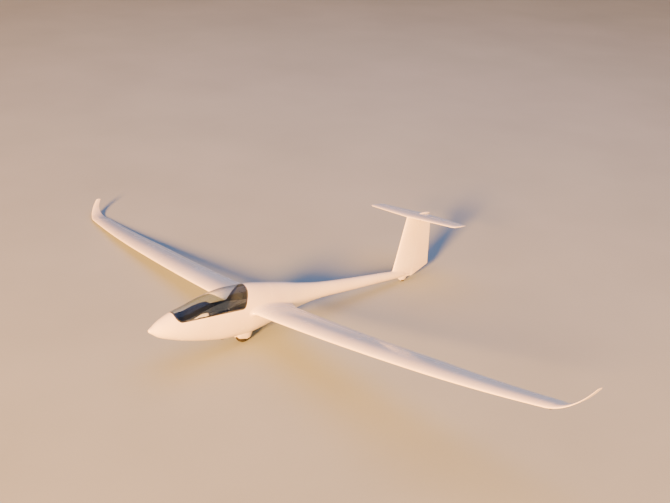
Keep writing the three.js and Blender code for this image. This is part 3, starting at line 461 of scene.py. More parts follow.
# woven cloth: warp and weft as two sets of sine bands at right angles, over a mottled dye
def makeCloth(name, light, dark, threadMm, depthMm, sheen):
    mat, tree, skin, place = newMaterial(name)
    warp, weft = (addNode(tree, "ShaderNodeTexWave", {"Vector": place}, bands_direction=axis,
                          Scale=314.16 / threadMm, Distortion=0.4).outputs["Fac"] for axis in ("X", "Y"))
    weave = addNode(tree, "ShaderNodeMath", {0: warp, 1: weft}, operation="MULTIPLY").outputs[0]
    dyed = blendColours(tree, mottle(tree, place, 25, 0.0, 1.0, 4.0), light, dark)
    tree.links.new(blendColours(tree, weave, dyed, light), skin.inputs["Base Color"])
    tree.links.new(mottle(tree, place, 120, 0.8, 0.98), skin.inputs["Roughness"])
    tree.links.new(bumpFrom(tree, weave, depthMm), skin.inputs["Normal"])
    skin.inputs["Sheen Weight"].default_value = sheen
    skin.inputs["IOR"].default_value = 1.15  # threads trap most of the glint
    return mat


seatCloth = makeCloth("polyester_woven_blue_grey", "#262C3A", "#1A1F2A", 1.3, 0.25, 0.05)
webbing = makeCloth("belt_webbing_dark", "#1D1F25", "#131519", 1.8, 0.2, 0.04)


# cast acrylic, blown: clear with a trace of grey, polished; lamps reach through it
def makeAcrylic(name):
    mat, tree, skin, place = newMaterial(name)
    out = [n for n in tree.nodes if n.type == "OUTPUT_MATERIAL"][0]
    skin.inputs["Base Color"].default_value = linear("#E6ECEF")
    skin.inputs["Transmission Weight"].default_value = 1.0
    skin.inputs["IOR"].default_value = 1.49
    tree.links.new(mottle(tree, place, 14, 0.01, 0.035), skin.inputs["Roughness"])
    clear = addNode(tree, "ShaderNodeBsdfTransparent", Color=linear("#E6ECEF"))
    path = addNode(tree, "ShaderNodeLightPath")
    shadow = path.outputs["Is Shadow Ray"]
    mix = addNode(tree, "ShaderNodeMixShader", {0: shadow, 1: skin.outputs[0], 2: clear.outputs[0]})
    tree.links.new(mix.outputs[0], out.inputs[0])
    return mat


acrylic = makeAcrylic("acrylic_blown_clear")
print("materials ready")

# Camera, light and floor

# in aircraft axes, metres: place, picture's right and up, and the lens for the width of the frame
view = dict(place=(12.8028, -7.3398, 5.1179), right=(0.64948, 0.75887, 0.04781),
            up=(-0.21710, 0.12481, 0.96814), lensMm=51.376, frameMm=36)


def addCamera():
    data = bpy.data.cameras.new("camera")
    data.sensor_width, data.lens = view["frameMm"], view["lensMm"]
    data.clip_start, data.clip_end = 0.1, 500
    obj = linked("camera", data)
    right, up = (np.array(view[k]) @ axes for k in ("right", "up"))
    place = toRow(np.array(view["place"]) * 1000)
    columns = np.stack([right, up, np.cross(right, up), place], 1)
    obj.matrix_world = Matrix([*columns.tolist(), [0, 0, 0, 1]])
    bpy.context.scene.camera = obj


def addLamp(name, place, target, size, watts, colour, mirrored=True):  # mirrored: seen in glossy skins
    data = bpy.data.lights.new(name, "AREA")
    data.shape, data.size, data.energy, data.color = "DISK", size, watts, linear(colour)[:3]
    obj = linked(name, data)
    obj.location = place
    obj.visible_glossy = mirrored
    obj.rotation_euler = (Vector(target) - Vector(place)).to_track_quat("-Z", "Y").to_euler()


lamps = dict(
    key=dict(place=(33.0, -63.8, 22.8), target=(0, 0.4, 0.9), size=15.0, watts=580000, colour="#FFAD54"),
    sky=dict(place=(-4.0, 6.0, 24.0), target=(-1.0, 2.0, 0.6), size=36.0, watts=5600, colour="#AEBEFF",
             mirrored=False),
    fill=dict(place=(15.0, 6.0, 8.0), target=(0, 0, 0.8), size=9.0, watts=250, colour="#FFE9D2"),
)
studio = dict(worldColour="#C0CAE6", worldStrength=0.36, floorLight="#98A6A8", floorDark="#909EA0",
              floorHalf=90.0)


def addStudio():
    for name, lamp in lamps.items():
        addLamp(name, **lamp)
    world = bpy.data.worlds.new("studio")
    bpy.context.scene.world = world
    world.use_nodes = True
    back = [n for n in world.node_tree.nodes if n.type == "BACKGROUND"][0]
    back.inputs[0].default_value = linear(studio["worldColour"])
    back.inputs[1].default_value = studio["worldStrength"]
    h = studio["floorHalf"]
    mesh = bpy.data.meshes.new("floor")
    mesh.from_pydata([(-h, -h, 0), (h, -h, 0), (h, h, 0), (-h, h, 0)], [], [(0, 1, 2, 3)])
    floor = linked("floor", mesh)
    tones = studio["floorLight"], studio["floorDark"]
    mesh.materials.append(makeFinish("floor_matt", *tones, (0.75, 0.9), 20, 0.2, patch=0.3))


addCamera()
addStudio()
print("camera, light and floor ready")

slotGap = 5  # between a moving surface and what it moves in

# Fuselage: elliptical sections read smoothly along its length

fuselageRows = [  # station aft of the nose, top, bottom, half width
    (0, -18, -18, 0), (60, 30, -78, 62), (200, 122, -163, 135), (400, 212, -228, 202), (700, 308, -305, 248),
    (1100, 428, -374, 281), (1500, 492, -412, 291), (1850, 497, -402, 288), (2300, 453, -317, 252),
    (2700, 394, -200, 199), (3100, 322, -98, 151), (3600, 264, -30, 119), (4400, 229, 0, 100),
    (5550, 195, 48, 75), (5880, 150, 60, 30)]
fuselage = dict(tail=5870, skin=12, rows=230, sides=144, space=((0, 5835, -180), (0, 5941, 420)),
                spaceRadii=(56, 50))  # space: the room behind the boom in which the rudder's foot swings
lining = dict(cabinRear=1880, cabinDepth=0.985, boomStart=2900, boomDepth=0.95, wellReach=190, wellTop=-190)
canopyEdge = [(503, 88), (855, 111), (1190, 128), (1500, 136), (1660, 138), (1700, 152), (1724, 182),
              (1784, 320), (1828, 432), (1832, 640), (420, 640), (420, 185), (428, 152), (455, 118)]
cockpitSide = [(300, -460), (1470, -460), (1610, -120), (1765, 130), (1905, 640), (300, 640)]
canopy = dict(glass=5, slot=5, frameWidth=20, frameDepth=18, gap=0.3)
mainWheel = dict(y=1865, z=-397, radius=160, width=100, rim=70, rimWidth=88, wellSide=22, wellRound=24)
tailWheel = dict(y=5700, z=13, radius=50, width=30, rim=26, rimWidth=26, wellSide=5, wellRound=7)


def bodyReading(y, column):
    # cubic between rows in the square root of the station, slopes the harmonic mean of the neighbours'
    rows = np.array(fuselageRows, float)
    s, v = np.sqrt(rows[:, 0]), rows[:, column]
    slope = np.diff(v) / np.diff(s)
    product = slope[:-1] * slope[1:]
    inner = np.where(product > 0, 2 * product / np.where(product > 0, slope[:-1] + slope[1:], 1), 0)
    tangent = np.concatenate([slope[:1], inner, slope[-1:]])
    x = np.sqrt(np.asarray(y, float))
    i = np.clip(np.searchsorted(s, x) - 1, 0, len(s) - 2)
    h = s[i + 1] - s[i]
    t = (x - s[i]) / h
    return (v[i] * (2 * t**3 - 3 * t**2 + 1) + tangent[i] * h * (t**3 - 2 * t**2 + t)
            + v[i + 1] * (3 * t**2 - 2 * t**3) + tangent[i + 1] * h * (t**3 - t**2))


def bodyEllipse(y):  # the section's middle, half its height and half its width
    top, bottom, half = (bodyReading(y, c) for c in (1, 2, 3))
    return (top + bottom) / 2, (top - bottom) / 2, half


def bodyGrid(stations, wall, sides):
    # x = (half width - wall) cos a, z = middle + (half height - wall) sin a
    y = np.asarray(stations, float)[:, None]
    middle, deep, half = bodyEllipse(y)
    a = ringAngles(sides)[None]
    return gridOf((half - wall) * np.cos(a), y, middle + (deep - wall) * np.sin(a))


def bodyDepth(points):  # under 1 inside the skin, 1 on it
    middle, deep, half = bodyEllipse(np.maximum(points[:, 1], 0.2))
    return np.hypot(points[:, 0] / half, (points[:, 2] - middle) / deep)


def bodySide(y, z, wall=0):  # half width of the body at a height, a wall's thickness inside its skin
    middle, deep, half = bodyEllipse(y)
    level = np.clip((z - middle) / (deep - wall), -1, 1)
    return (half - wall) * np.sqrt(1 - level**2)


def canopyOutline():  # the opening in side view
    return rounded(canopyEdge, 16)


def cabinStations(count=90):
    return np.linspace(math.sqrt(290), math.sqrt(1900), count) ** 2


def wheelWell(wheel, count=72):
    # a drum on the axle that runs straight down: its lower half is drawn square, by 1 / max(|cos|, |sin|)
    half, r = wheel["width"] / 2 + wheel["wellSide"], wheel["radius"] + wheel["wellRound"]
    unit = circle(1.0, count)
    shrink = np.where(unit[:, 1] < 0, np.abs(unit).max(axis=1), 1)
    loop = unit / shrink[:, None] * r + (wheel["y"], wheel["z"])
    grid = np.stack([np.column_stack([np.full(count, x), loop]) for x in (-half, half)])
    return closedSkin(np.roll(grid, count // 4, axis=1))  # so that strips across the ends run level


def cabinTool():
    tool = rawObject("cabinTool", closedSkin(bodyGrid(cabinStations(), fuselage["skin"], 112)))
    return carve(tool, [rawObject("cabinSide", sideSlab(cockpitSide, 400))], "INTERSECT")


def makeFuselage():
    stations = np.linspace(math.sqrt(0.3), math.sqrt(fuselage["tail"]), fuselage["rows"]) ** 2
    shell = rawObject("fuselageShell", closedSkin(bodyGrid(stations, 0, fuselage["sides"])))
    carve(shell, [
        cabinTool(),
        rawObject("opening", sideSlab(canopyOutline(), 400)),
        rawObject("mainWell", wheelWell(mainWheel)),
        rawObject("tailWell", wheelWell(tailWheel)),
        rawObject("rudderSpace", behindHinge(*fuselage["space"], fuselage["spaceRadii"], slotGap, 700)),
    ])

    def pick(centre):  # 0 outside, 1 cockpit lining below, 2 wheel well
        y, z = centre[:, 1], centre[:, 2]
        depth = np.where(y < lining["boomStart"], lining["cabinDepth"], lining["boomDepth"])
        inside = bodyDepth(centre) < depth
        well = inside & (np.abs(y - mainWheel["y"]) < lining["wellReach"]) & (z < lining["wellTop"])
        return np.where(well, 2, np.where(inside & (y < lining["cabinRear"]), 1, 0))

    finished(shell, "airframe", [gelcoat, cockpitGrey, primerGrey], slot="gelcoat", pick=pick,
             stands=("fuselage_nose", "cockpit_shell_port", "cockpit_shell_starboard", "fuselage_centre",
                     "tail_boom"))


# Hinge lines: what lies behind one is a drum round it and a slab aft of it

def hingeFrame(start, end):
    a, b = np.array(start, float), np.array(end, float)
    along = (b - a) / np.linalg.norm(b - a)
    side = np.cross(along, (0, 1, 0))
    side /= np.linalg.norm(side)
    aft = np.cross(side, along)
    return a, b, along, aft, np.cross(aft, along)


def behindHinge(start, end, radii, grow, reach):
    # loop in the plane across the hinge: down the slab's front, round the drum, up its front again
    a, b, along, aft, up = hingeFrame(start, end)
    arc = np.radians(np.linspace(-89, 89, 56))
    loops = []
    for foot, sign, r in ((a, -1, radii[0]), (b, 1, radii[1])):
        r = r + grow
        x = np.concatenate([[reach, 0], -r * np.cos(arc), [0, reach]])
        y = np.concatenate([[-reach, -reach], r * np.sin(arc), [reach, reach]])
        loops.append(foot + along * sign * grow + x[:, None] * aft + y[:, None] * up)
    return closedSkin(np.stack(loops))


# Wings

wingChords = [(0, 869), (4000, 657), (6147, 394.2)]
wing = dict(leading=1862, sweep=0.0324, tipSweepStart=4000, tipSweep=91.2, height=25, dihedral=0.0141,
            flex=6.6e-6, incidence=1.5, rootThick=0.145, tipThick=0.13, camber=0.03, root=380, edge=1.2)
winglet = dict(foot=6147, joint=6000, radius=633.2, cant=63.2, sweep=0.276, sweepGain=0.000434,
               tipChord=105, taper=1.6)
flaperons = dict(inner=(425, 3130, 34, 29), outer=(3152, 5860, 29, 19))  # two ends, nose radius at each
hingeShare, hingeDrop = 0.8, -5
# runner: reach past each end, thickness, drop below the skin
airbrake = dict(centre=2775, length=1060, chordwise=0.52, depth=68, blade=12, runner=(4.7, 5, 22))


def halfThick(u, t):
    return 5 * t * (0.2969 * np.sqrt(u) - 0.126 * u - 0.3516 * u**2 + 0.2843 * u**3 - 0.1036 * u**4)


def camberAt(u, m, p=0.4):
    return np.where(u < p, m / p**2 * (2 * p * u - u * u),
                    m / (1 - p) ** 2 * (1 - 2 * p + 2 * p * u - u * u))


def sectionRun(count):  # share of chord and side, over the top from the trailing edge, then back underneath
    u = (1 + np.cos(np.pi * (np.arange(count + 1) + 0.35) / (count + 0.7))) / 2
    return np.concatenate([u, u[::-1]]), np.concatenate([np.ones(count + 1), -np.ones(count + 1)])


def wingPlaces(x):
    # leading edge, height and slope of the chord line at span stations x, all arrays
    x = np.asarray(x, float)
    curved = np.maximum(x - wing["tipSweepStart"], 0) / (winglet["foot"] - wing["tipSweepStart"])
    share = x / winglet["foot"]
    return dict(x=x, leading=wing["leading"] + wing["sweep"] * x + wing["tipSweep"] * curved**2,
                z=wing["height"] + wing["dihedral"] * x + wing["flex"] * x * x,
                slope=np.arctan(wing["dihedral"] + 2 * wing["flex"] * x),
                chord=np.interp(x, *np.array(wingChords, float).T),
                thick=wing["rootThick"] + (wing["tipThick"] - wing["rootThick"]) * share)


def wingletPlaces(share):
    # the span path turns up on an arc: x = foot + r (sin s - sin s0), z = foot - r (cos s - cos s0)
    share = np.asarray(share, float)
    foot = wingPlaces(winglet["foot"])
    taper = (1 - share) ** winglet["taper"]
    slope = foot["slope"] + (math.radians(winglet["cant"]) - foot["slope"]) * share
    run = winglet["radius"] * (slope - foot["slope"])
    return dict(x=foot["x"] + winglet["radius"] * (np.sin(slope) - np.sin(foot["slope"])),
                leading=foot["leading"] + winglet["sweep"] * run + winglet["sweepGain"] * run**2,
                z=foot["z"] - winglet["radius"] * (np.cos(slope) - np.cos(foot["slope"])), slope=slope,
                chord=winglet["tipChord"] + (foot["chord"] - winglet["tipChord"]) * taper,
                thick=wing["tipThick"] + (0.1 - wing["tipThick"]) * share)


def wingGrid(places, u, side, lift=0, shrink=1):
    # section = camber line +- half thickness, turned by the incidence about mid chord, laid along the slope
    c, t, slope = (np.asarray(places[k], float)[:, None] for k in ("chord", "thick", "slope"))
    turn = math.radians(wing["incidence"])
    shrink = np.broadcast_to(np.asarray(shrink, float), (len(places["x"]),))[:, None]
    away = side * (halfThick(u, t) * c + wing["edge"] * u + lift)
    rise = (camberAt(u, wing["camber"]) * c + away) * shrink
    back = (u * c - c / 2) * shrink
    y = back * math.cos(turn) + rise * math.sin(turn)
    h = rise * math.cos(turn) - back * math.sin(turn)
    at = {k: np.asarray(places[k], float)[:, None] for k in ("x", "leading", "z")}
    return np.stack([at["x"] - h * np.sin(slope), at["leading"] + c / 2 + y, at["z"] + h * np.cos(slope)], 2)


def wingPoint(x, share, lift=0):  # a point in the wing, lift above the section's middle
    place = {k: float(v) for k, v in wingPlaces(x).items()}
    back = (share - 0.5) * place["chord"]
    rise = float(camberAt(np.array(share), wing["camber"])) * place["chord"] + lift
    drop = back * math.sin(math.radians(wing["incidence"]))
    return np.array([x - rise * math.sin(place["slope"]), place["leading"] + place["chord"] / 2 + back,
                     place["z"] + rise * math.cos(place["slope"]) - drop])


def flaperonLine(name):
    inboard, outboard, r0, r1 = flaperons[name]
    return wingPoint(inboard, hingeShare, hingeDrop), wingPoint(outboard, hingeShare, hingeDrop), (r0, r1)


def wingSkin():
    u, side = sectionRun(60)
    x = np.linspace(wing["root"] + 0.3, winglet["joint"], 150)
    return closedSkin(wingGrid(wingPlaces(x), u, side))


def brakeFrame():  # middle of the airbrake's slot and its axes: along the span, aft, up out of the wing
    slope = float(wingPlaces(airbrake["centre"])["slope"])
    along = np.array([math.cos(slope), 0, math.sin(slope)])
    up = np.array([-math.sin(slope), 0, math.cos(slope)])
    return wingPoint(airbrake["centre"], airbrake["chordwise"]), along, np.array([0, 1.0, 0]), up


def brakeTop():
    place = wingPlaces(airbrake["centre"])
    return float(halfThick(airbrake["chordwise"], place["thick"]) * place["chord"])


def brakeBox(length, thick, low, high):
    middle, along, aft, up = brakeFrame()
    points, faces = boxSolid((0, 0, (low + high) / 2), (length, thick, high - low))
    return middle + points @ np.array([along, aft, up]), faces


def hingePins(start, end):
    a, b, along, aft, up = hingeFrame(start, end)
    loop = circle(4, 24)
    pins = []
    for foot, sign in ((a, -1), (b, 1)):
        path = np.array([foot - along * sign * 12, foot + along * sign * 4.7])
        pins.append(closedSkin(path[:, None] + loop[None, :, :1] * aft + loop[None, :, 1:] * up))
    return pins


def makeWings():
    top = brakeTop()
    length, thick, foot = airbrake["length"], airbrake["blade"], top - airbrake["depth"]
    tools = [rawObject("cove", behindHinge(*flaperonLine(n), slotGap, 400)) for n in flaperons]
    slot = brakeBox(length + 2 * slotGap, thick + 2 * slotGap, foot - slotGap, top + 60)
    panel = carve(rawObject("wingPanel", wingSkin()), [*tools, rawObject("slot", slot)])
    surfaces = {}
    for n in flaperons:
        tool = rawObject("tool", behindHinge(*flaperonLine(n), 0, 400))
        surface = carve(rawObject("flaperon", wingSkin()), [tool], "INTERSECT")
        surfaces[n] = carve(surface, [rawObject("pin", p) for p in hingePins(*flaperonLine(n)[:2])], "UNION")
    tool = rawObject("tool", brakeBox(length, thick, foot, top + 60))
    blade = carve(rawObject("blade", wingSkin()), [tool], "INTERSECT")
    reach, runnerThick, drop = airbrake["runner"]
    runner = brakeBox(length + 2 * reach, runnerThick, foot, top - drop)
    blade = carve(blade, [rawObject("runner", runner)], "UNION")
    for side in ("port", "starboard"):
        for name, source, node, body in (
                ("wingPanel", panel, "wing", "airframe"),
                ("flaperonInner", surfaces["inner"], "flaperon_inner", f"flaperon_inner_{side}"),
                ("flaperonOuter", surfaces["outer"], "flaperon_outer", f"flaperon_outer_{side}"),
                ("airbrakeBlade", blade, "airbrake", f"airbrake_{side}")):
            obj = copyOf(source, f"{name}_{side}", side == "starboard")
            finished(obj, body, gelcoat, slot="gelcoat", stands=(f"{node}_{side}",))
    for source in (panel, blade, *surfaces.values()):
        bpy.data.objects.remove(source)


def copyOf(source, name, flip):
    mesh = source.data.copy()
    if flip:
        mesh.transform(Matrix.Scale(-1, 4, (1, 0, 0)))
        mesh.flip_normals()
    obj = bpy.data.objects.new(name, mesh)
    bpy.context.scene.collection.objects.link(obj)
    return obj


def makeWinglets():
    u, side = sectionRun(48)
    share = np.linspace(0, 1, 60)
    late = np.clip((share - 0.94) / 0.06, 0, 1)
    shrink = 0.6 + 0.4 * np.sqrt(1 - late**4)
    straight = wingGrid(wingPlaces(np.linspace(winglet["joint"] + 0.3, winglet["foot"], 14)[:-1]), u, side)
    turned = wingGrid(wingletPlaces(share), u, side, shrink=shrink)
    skin = closedSkin(np.concatenate([straight, turned]))
    bothSides("wingletShell", skin, "airframe", gelcoat, slot="gelcoat", stands="winglet")


# the root fairing: the wing's section grown a little and carried into the pod with a fillet
fairingRows = [  # span station, reach ahead of the wing, reach behind it, thickness as a share of the chord
    (205, 105, 62, 0.2), (262, 84, 48, 0.178), (300, 55, 30, 0.162), (340, 22, 12, 0.15), (380, 0, 0, 0.144)]
fillet = dict(radius=34, rows=14)


def fairingSection(x, push):
    # the fairing's loop at a span station for each of its points, pushed outwards in its own plane
    u, side = sectionRun(60)
    table = np.array(fairingRows, float)
    forward, aft, thick = (np.interp(x, table[:, 0], table[:, c]) for c in (1, 2, 3))
    place = wingPlaces(x)
    c = place["chord"] + forward + aft
    turn = math.radians(wing["incidence"])
    rise = camberAt(u, wing["camber"]) * c + side * (halfThick(u, thick) * c + wing["edge"] * u)
    back = u * c - c / 2
    dUp, dBack = np.gradient(rise), np.gradient(back)
    size = np.maximum(np.hypot(dUp, dBack), 1e-9)
    back, rise = back + dUp / size * push, rise - dBack / size * push
    y = back * math.cos(turn) + rise * math.sin(turn)
    h = rise * math.cos(turn) - back * math.sin(turn)
    return np.stack([x - h * np.sin(place["slope"]), place["leading"] - forward + c / 2 + y,
                     place["z"] + h * np.cos(place["slope"])], 1)


def fairingGrid():
    # rows at a gap g from the pod's side, section pushed outwards by d: g = R (1 - sin f), d = R (1 - cos f)
    f = np.radians(np.linspace(0, 90, fillet["rows"]))
    gaps = np.concatenate([fillet["radius"] * (1 - np.sin(f)), [-2.5]])
    pushes = np.concatenate([fillet["radius"] * (1 - np.cos(f)), [fillet["radius"]]])
    rows = []
    for g, d in zip(gaps, pushes):
        x = np.full(122, 300.0)
        for _ in range(8):
            p = fairingSection(x, d)
            x = np.minimum(bodySide(np.minimum(p[:, 1], 2899), p[:, 2]) + g, wing["root"])
        rows.append(fairingSection(x, d))
    start = rows[0][:, 0]
    outer = [fairingSection(start + (wing["root"] - start) * s, 0) for s in np.linspace(1, 0, 12)[:-1]]
    return np.stack(outer + rows)


def makeRootFairings():
    bothSides("wingRootFairing", closedSkin(fairingGrid()), "airframe", gelcoat, slot="gelcoat")


# Tail

fin = dict(leading=5408, sweep=0.2925, base=210, trailing=6370, thick=0.105, foot=70, rearTop=(6000, 1196))
rudder = dict(axis=((0, 5870, 20), (0, 6074, 1170)), radii=(48, 36), tongues=(0.3, 0.9),
              room=((0, 5852.3, -80), (0, 6092, 1272)), roomRadii=(50, 35),
              outline=[(5700, 78), (5886, 66), (6370, 243), (6370, 1150), (5700, 1150)])
tongue = dict(thick=8, round=12, neck=14, slotRound=18)
finFillet = dict(radius=26, end=5780)
stabiliser = dict(height=1268, thick=0.1, hinge=6055)
stabiliserRows = [(0, 5690, 572), (1080, 5790, 360), (1135, 5812, 330), (1154, 5850, 270)]
elevator = dict(inboard=40, outboard=1128, radii=(24, 13))
elevatorLine = [(x, stabiliser["hinge"], stabiliser["height"])
                for x in (elevator["inboard"], elevator["outboard"])]


def finChord(z):
    leading = fin["leading"] + fin["sweep"] * (np.asarray(z, float) - fin["base"])
    return leading, fin["trailing"] - leading


def finAt(z, u, side, grow=0):  # skin points at heights z and shares u of the chord
    leading, c = (v[:, None] for v in finChord(z))
    x = side * (halfThick(u, fin["thick"]) * c + wing["edge"] * u + grow)
    return gridOf(x, leading + u * c, np.asarray(z, float)[:, None])


def finGrid(z, grow=0, count=48):
    return finAt(z, *sectionRun(count), grow)


def stabiliserPlan(span):  # leading edge and chord
    rows = np.array(stabiliserRows, float)
    return (np.interp(span, rows[:, 0], rows[:, c]) for c in (1, 2))


def stabiliserAt(span, u, side, lift=0):  # skin points away from the rounded tips
    lead, chord = (v[:, None] for v in stabiliserPlan(span))
    up = side * (halfThick(u, stabiliser["thick"]) * chord + wing["edge"] * u + lift)
    return gridOf(span[:, None], lead + u * chord, stabiliser["height"] + up)


def stabiliserGrid(grow=0, count=44):
    u, side = sectionRun(count)
    tip, end = stabiliserRows[1][0], stabiliserRows[-1][0]
    tipSpan = tip + (end - tip) * np.sin(np.linspace(0, math.pi / 2, 12))[1:]
    span = np.concatenate([np.linspace(0, tip, 40), tipSpan])
    lead, chord = stabiliserPlan(span)
    late = np.clip((span - 1125) / 29, 0, 1)
    thin = 1 - 0.55 * late**2
    span, lead, chord, thin = (np.concatenate([s * v[:0:-1], v]) for s, v in
                               ((-1, span), (1, lead), (1, chord), (1, thin)))
    lead, chord = (lead - grow)[:, None], (chord + 2 * grow)[:, None]
    up = side * (halfThick(u, stabiliser["thick"]) * chord * thin[:, None] + wing["edge"] * u + grow)
    return gridOf(span[:, None], lead + u * chord, stabiliser["height"] + up)


def onRudderAxis(share, part):
    a, b = (np.array(p, float) for p in rudder["axis"])
    lean = math.atan2(b[1] - a[1], b[2] - a[2])
    points, faces = part
    turn = np.array([[1, 0, 0], [0, math.cos(lean), -math.sin(lean)], [0, math.sin(lean), math.cos(lean)]])
    return points @ turn + (a + (b - a) * share), faces


def pillar(radius, height, count=48):
    loop = circle(radius, count)
    return closedSkin(np.stack([np.column_stack([loop, np.full(count, z)])
                                for z in (-height / 2, height / 2)]))


def finFoot():
    # the fin's section flared at the boom: gap above the boom g = R (1 - sin f), push d = R (1 - cos f)
    u, side = sectionRun(48)
    f = np.radians(np.linspace(0, 90, 10))
    gaps = finFillet["radius"] * np.concatenate([[1.15], 1 - np.sin(f), [-0.15]])
    pushes = np.concatenate([[-0.4], finFillet["radius"] * (1 - np.cos(f)), [finFillet["radius"]]])
    rows = []
    for g, d in zip(gaps, pushes):
        z = np.full(98, 210.0)
        for _ in range(6):
            leading, c = finChord(z)
            out, back = side * (halfThick(u, fin["thick"]) * c + wing["edge"] * u), u * c
            dOut, dBack = np.gradient(out), np.gradient(back)
            size = np.maximum(np.hypot(dOut, dBack), 1e-9)
            x, y = out - dBack / size * d, leading + back + dOut / size * d
            middle, deep, half = bodyEllipse(np.minimum(y, 5860))
            z = middle + deep * np.sqrt(np.maximum(1 - (x / half) ** 2, 0.02)) + g
        rows.append(np.stack([x, y, z], 1))
    return closedSkin(np.stack(rows))


def onTongues(*parts):
    return [onRudderAxis(share, part) for share in rudder["tongues"] for part in parts]


def rudderRoom():
    return rawObject("tool", behindHinge(*rudder["room"], rudder["roomRadii"], slotGap, 700))


def makeTail():
    foot = carve(rawObject("finFootFillet", finFoot()), [
        rudderRoom(), rawObject("end", boxSolid((0, finFillet["end"] + 500, 200), (400, 1000, 600)))])
    finished(foot, "airframe", gelcoat, slot="gelcoat")
    heights = np.linspace(30, 1267, 90)
    thick, slotThick = tongue["thick"], tongue["thick"] + 0.6
    tongues = onTongues(pillar(tongue["round"], thick), boxSolid((0, -35, 0), (tongue["neck"], 70, thick)))
    slots = onTongues(pillar(tongue["slotRound"], slotThick), boxSolid((0, -50, 0), (160, 100, slotThick)))
    around = np.linspace(5300, 5880, 40)
    post = carve(rawObject("finShell", closedSkin(finGrid(heights))), [
        rudderRoom(),
        rawObject("foot", boxSolid((0, 5800, fin["foot"] - 100), (400, 1600, 200))),
        rawObject("rear", boxSolid((0, fin["rearTop"][0] + 250, fin["rearTop"][1] + 100), (400, 500, 200))),
        rawObject("boom", closedSkin(bodyGrid(around, 2, 72))),
        rawObject("stabiliserRoom", closedSkin(stabiliserGrid(0.3))),
    ])
    post = carve(post, [rawObject("tongue", t) for t in tongues], "UNION")
    finished(post, "airframe", gelcoat, slot="gelcoat", stands=("fin",))
    flap = carve(rawObject("rudderShell", closedSkin(finGrid(heights))), [
        rawObject("tool", behindHinge(*rudder["axis"], rudder["radii"], 0, 700)),
        rawObject("side", sideSlab(rudder["outline"], 200))], "INTERSECT")
    flap = carve(flap, [rawObject("slot", s) for s in slots])
    finished(flap, "rudder", gelcoat, slot="gelcoat", stands=("rudder",))

    room = behindHinge(*elevatorLine, elevator["radii"], slotGap, 300)
    plane = carve(rawObject("stabiliserShell", closedSkin(stabiliserGrid())),
                  [rawObject("room", room), rawObject("room2", mirrored(room))])
    finished(plane, "airframe", gelcoat, slot="gelcoat", stands=("stabiliser",))
    half = carve(rawObject("elevator", closedSkin(stabiliserGrid())),
                 [rawObject("tool", behindHinge(*elevatorLine, elevator["radii"], 0, 300))], "INTERSECT")
    half = carve(half, [rawObject("pin", p) for p in hingePins(*elevatorLine)], "UNION")
    for side in ("port", "starboard"):
        obj = copyOf(half, f"elevatorShell_{side}", side == "starboard")
        finished(obj, "elevator", gelcoat, slot="gelcoat", stands=(f"elevator_{side}",))
    bpy.data.objects.remove(half)


# Canopy: a glass shell on a frame that lies inside its edge

def canopyBand(outerWall, innerWall):
    inner = cabinStations()
    inner[0], inner[-1] = 280, 1910
    band = rawObject("band", closedSkin(bodyGrid(cabinStations(), outerWall, fuselage["sides"])))
    return carve(band, [rawObject("inner", closedSkin(bodyGrid(inner, innerWall, fuselage["sides"])))])


def canopySide(d):  # all that lies d or more inside the canopy's edge in side view
    return rawObject("edge", sideSlab(inset(canopyOutline(), d), 400))


def makeCanopy():
    slot, gap = canopy["slot"], canopy["glass"] + canopy["gap"]
    glass = carve(canopyBand(0, canopy["glass"]), [canopySide(slot)], "INTERSECT")
    glass.name = "canopyGlass"
    finished(glass, "canopy", acrylic, slot="acrylic_glass", stands=("canopy_glass",))
    ring = carve(canopyBand(gap, canopy["frameDepth"]), [canopySide(slot)], "INTERSECT")
    ring = carve(ring, [canopySide(slot + canopy["frameWidth"])])
    ring.name = "canopyRing"
    finished(ring, "canopy", frameBlack, slot="black_frame", stands=("canopy_frame",))


makeFuselage()
print("fuselage ready")
makeRootFairings()
makeWings()
makeWinglets()
print("wings ready")
makeTail()
print("tail ready")
makeCanopy()
print("canopy ready")

# Gap seals: tape over the slots ahead of the control surfaces, fixed to the airframe

# land on the skin ahead of the slot, back off the moving nose and at least clear of the hinge line
seal = dict(low=0.05, high=0.45, land=14, back=1.7, clear=4.5)


def slotStrip(surface, hinge, chord, line, radii):
    # surface(share, lift) gives skin points; the strip ends where the drum round the hinge line comes out
    ahead = np.linspace(0, 80, 401)
    a, b, along, _, _ = hingeFrame(*line)
    rel = surface(hinge[:, None] - ahead / chord[:, None], 0) - a
    run = rel @ along
    away = np.linalg.norm(rel - run[..., None] * along, axis=2)
    away -= np.interp(run, (0, np.linalg.norm(b - a)), radii)
    under = ahead[np.argmin(away, axis=1)]  # where the hinge line runs under the skin
    slot, nose = (np.max(np.where(away < gap, ahead, under[:, None]), axis=1) for gap in (slotGap, 0))
    rear, front = np.maximum(nose + seal["back"], under + seal["clear"]), slot + seal["land"]
    reach = rear[:, None] + (front - rear)[:, None] * np.linspace(1, 0, 6)
    shares = hinge[:, None] - reach / chord[:, None]
    return sheetSolid(surface(shares, seal["low"]), surface(shares, seal["high"]))


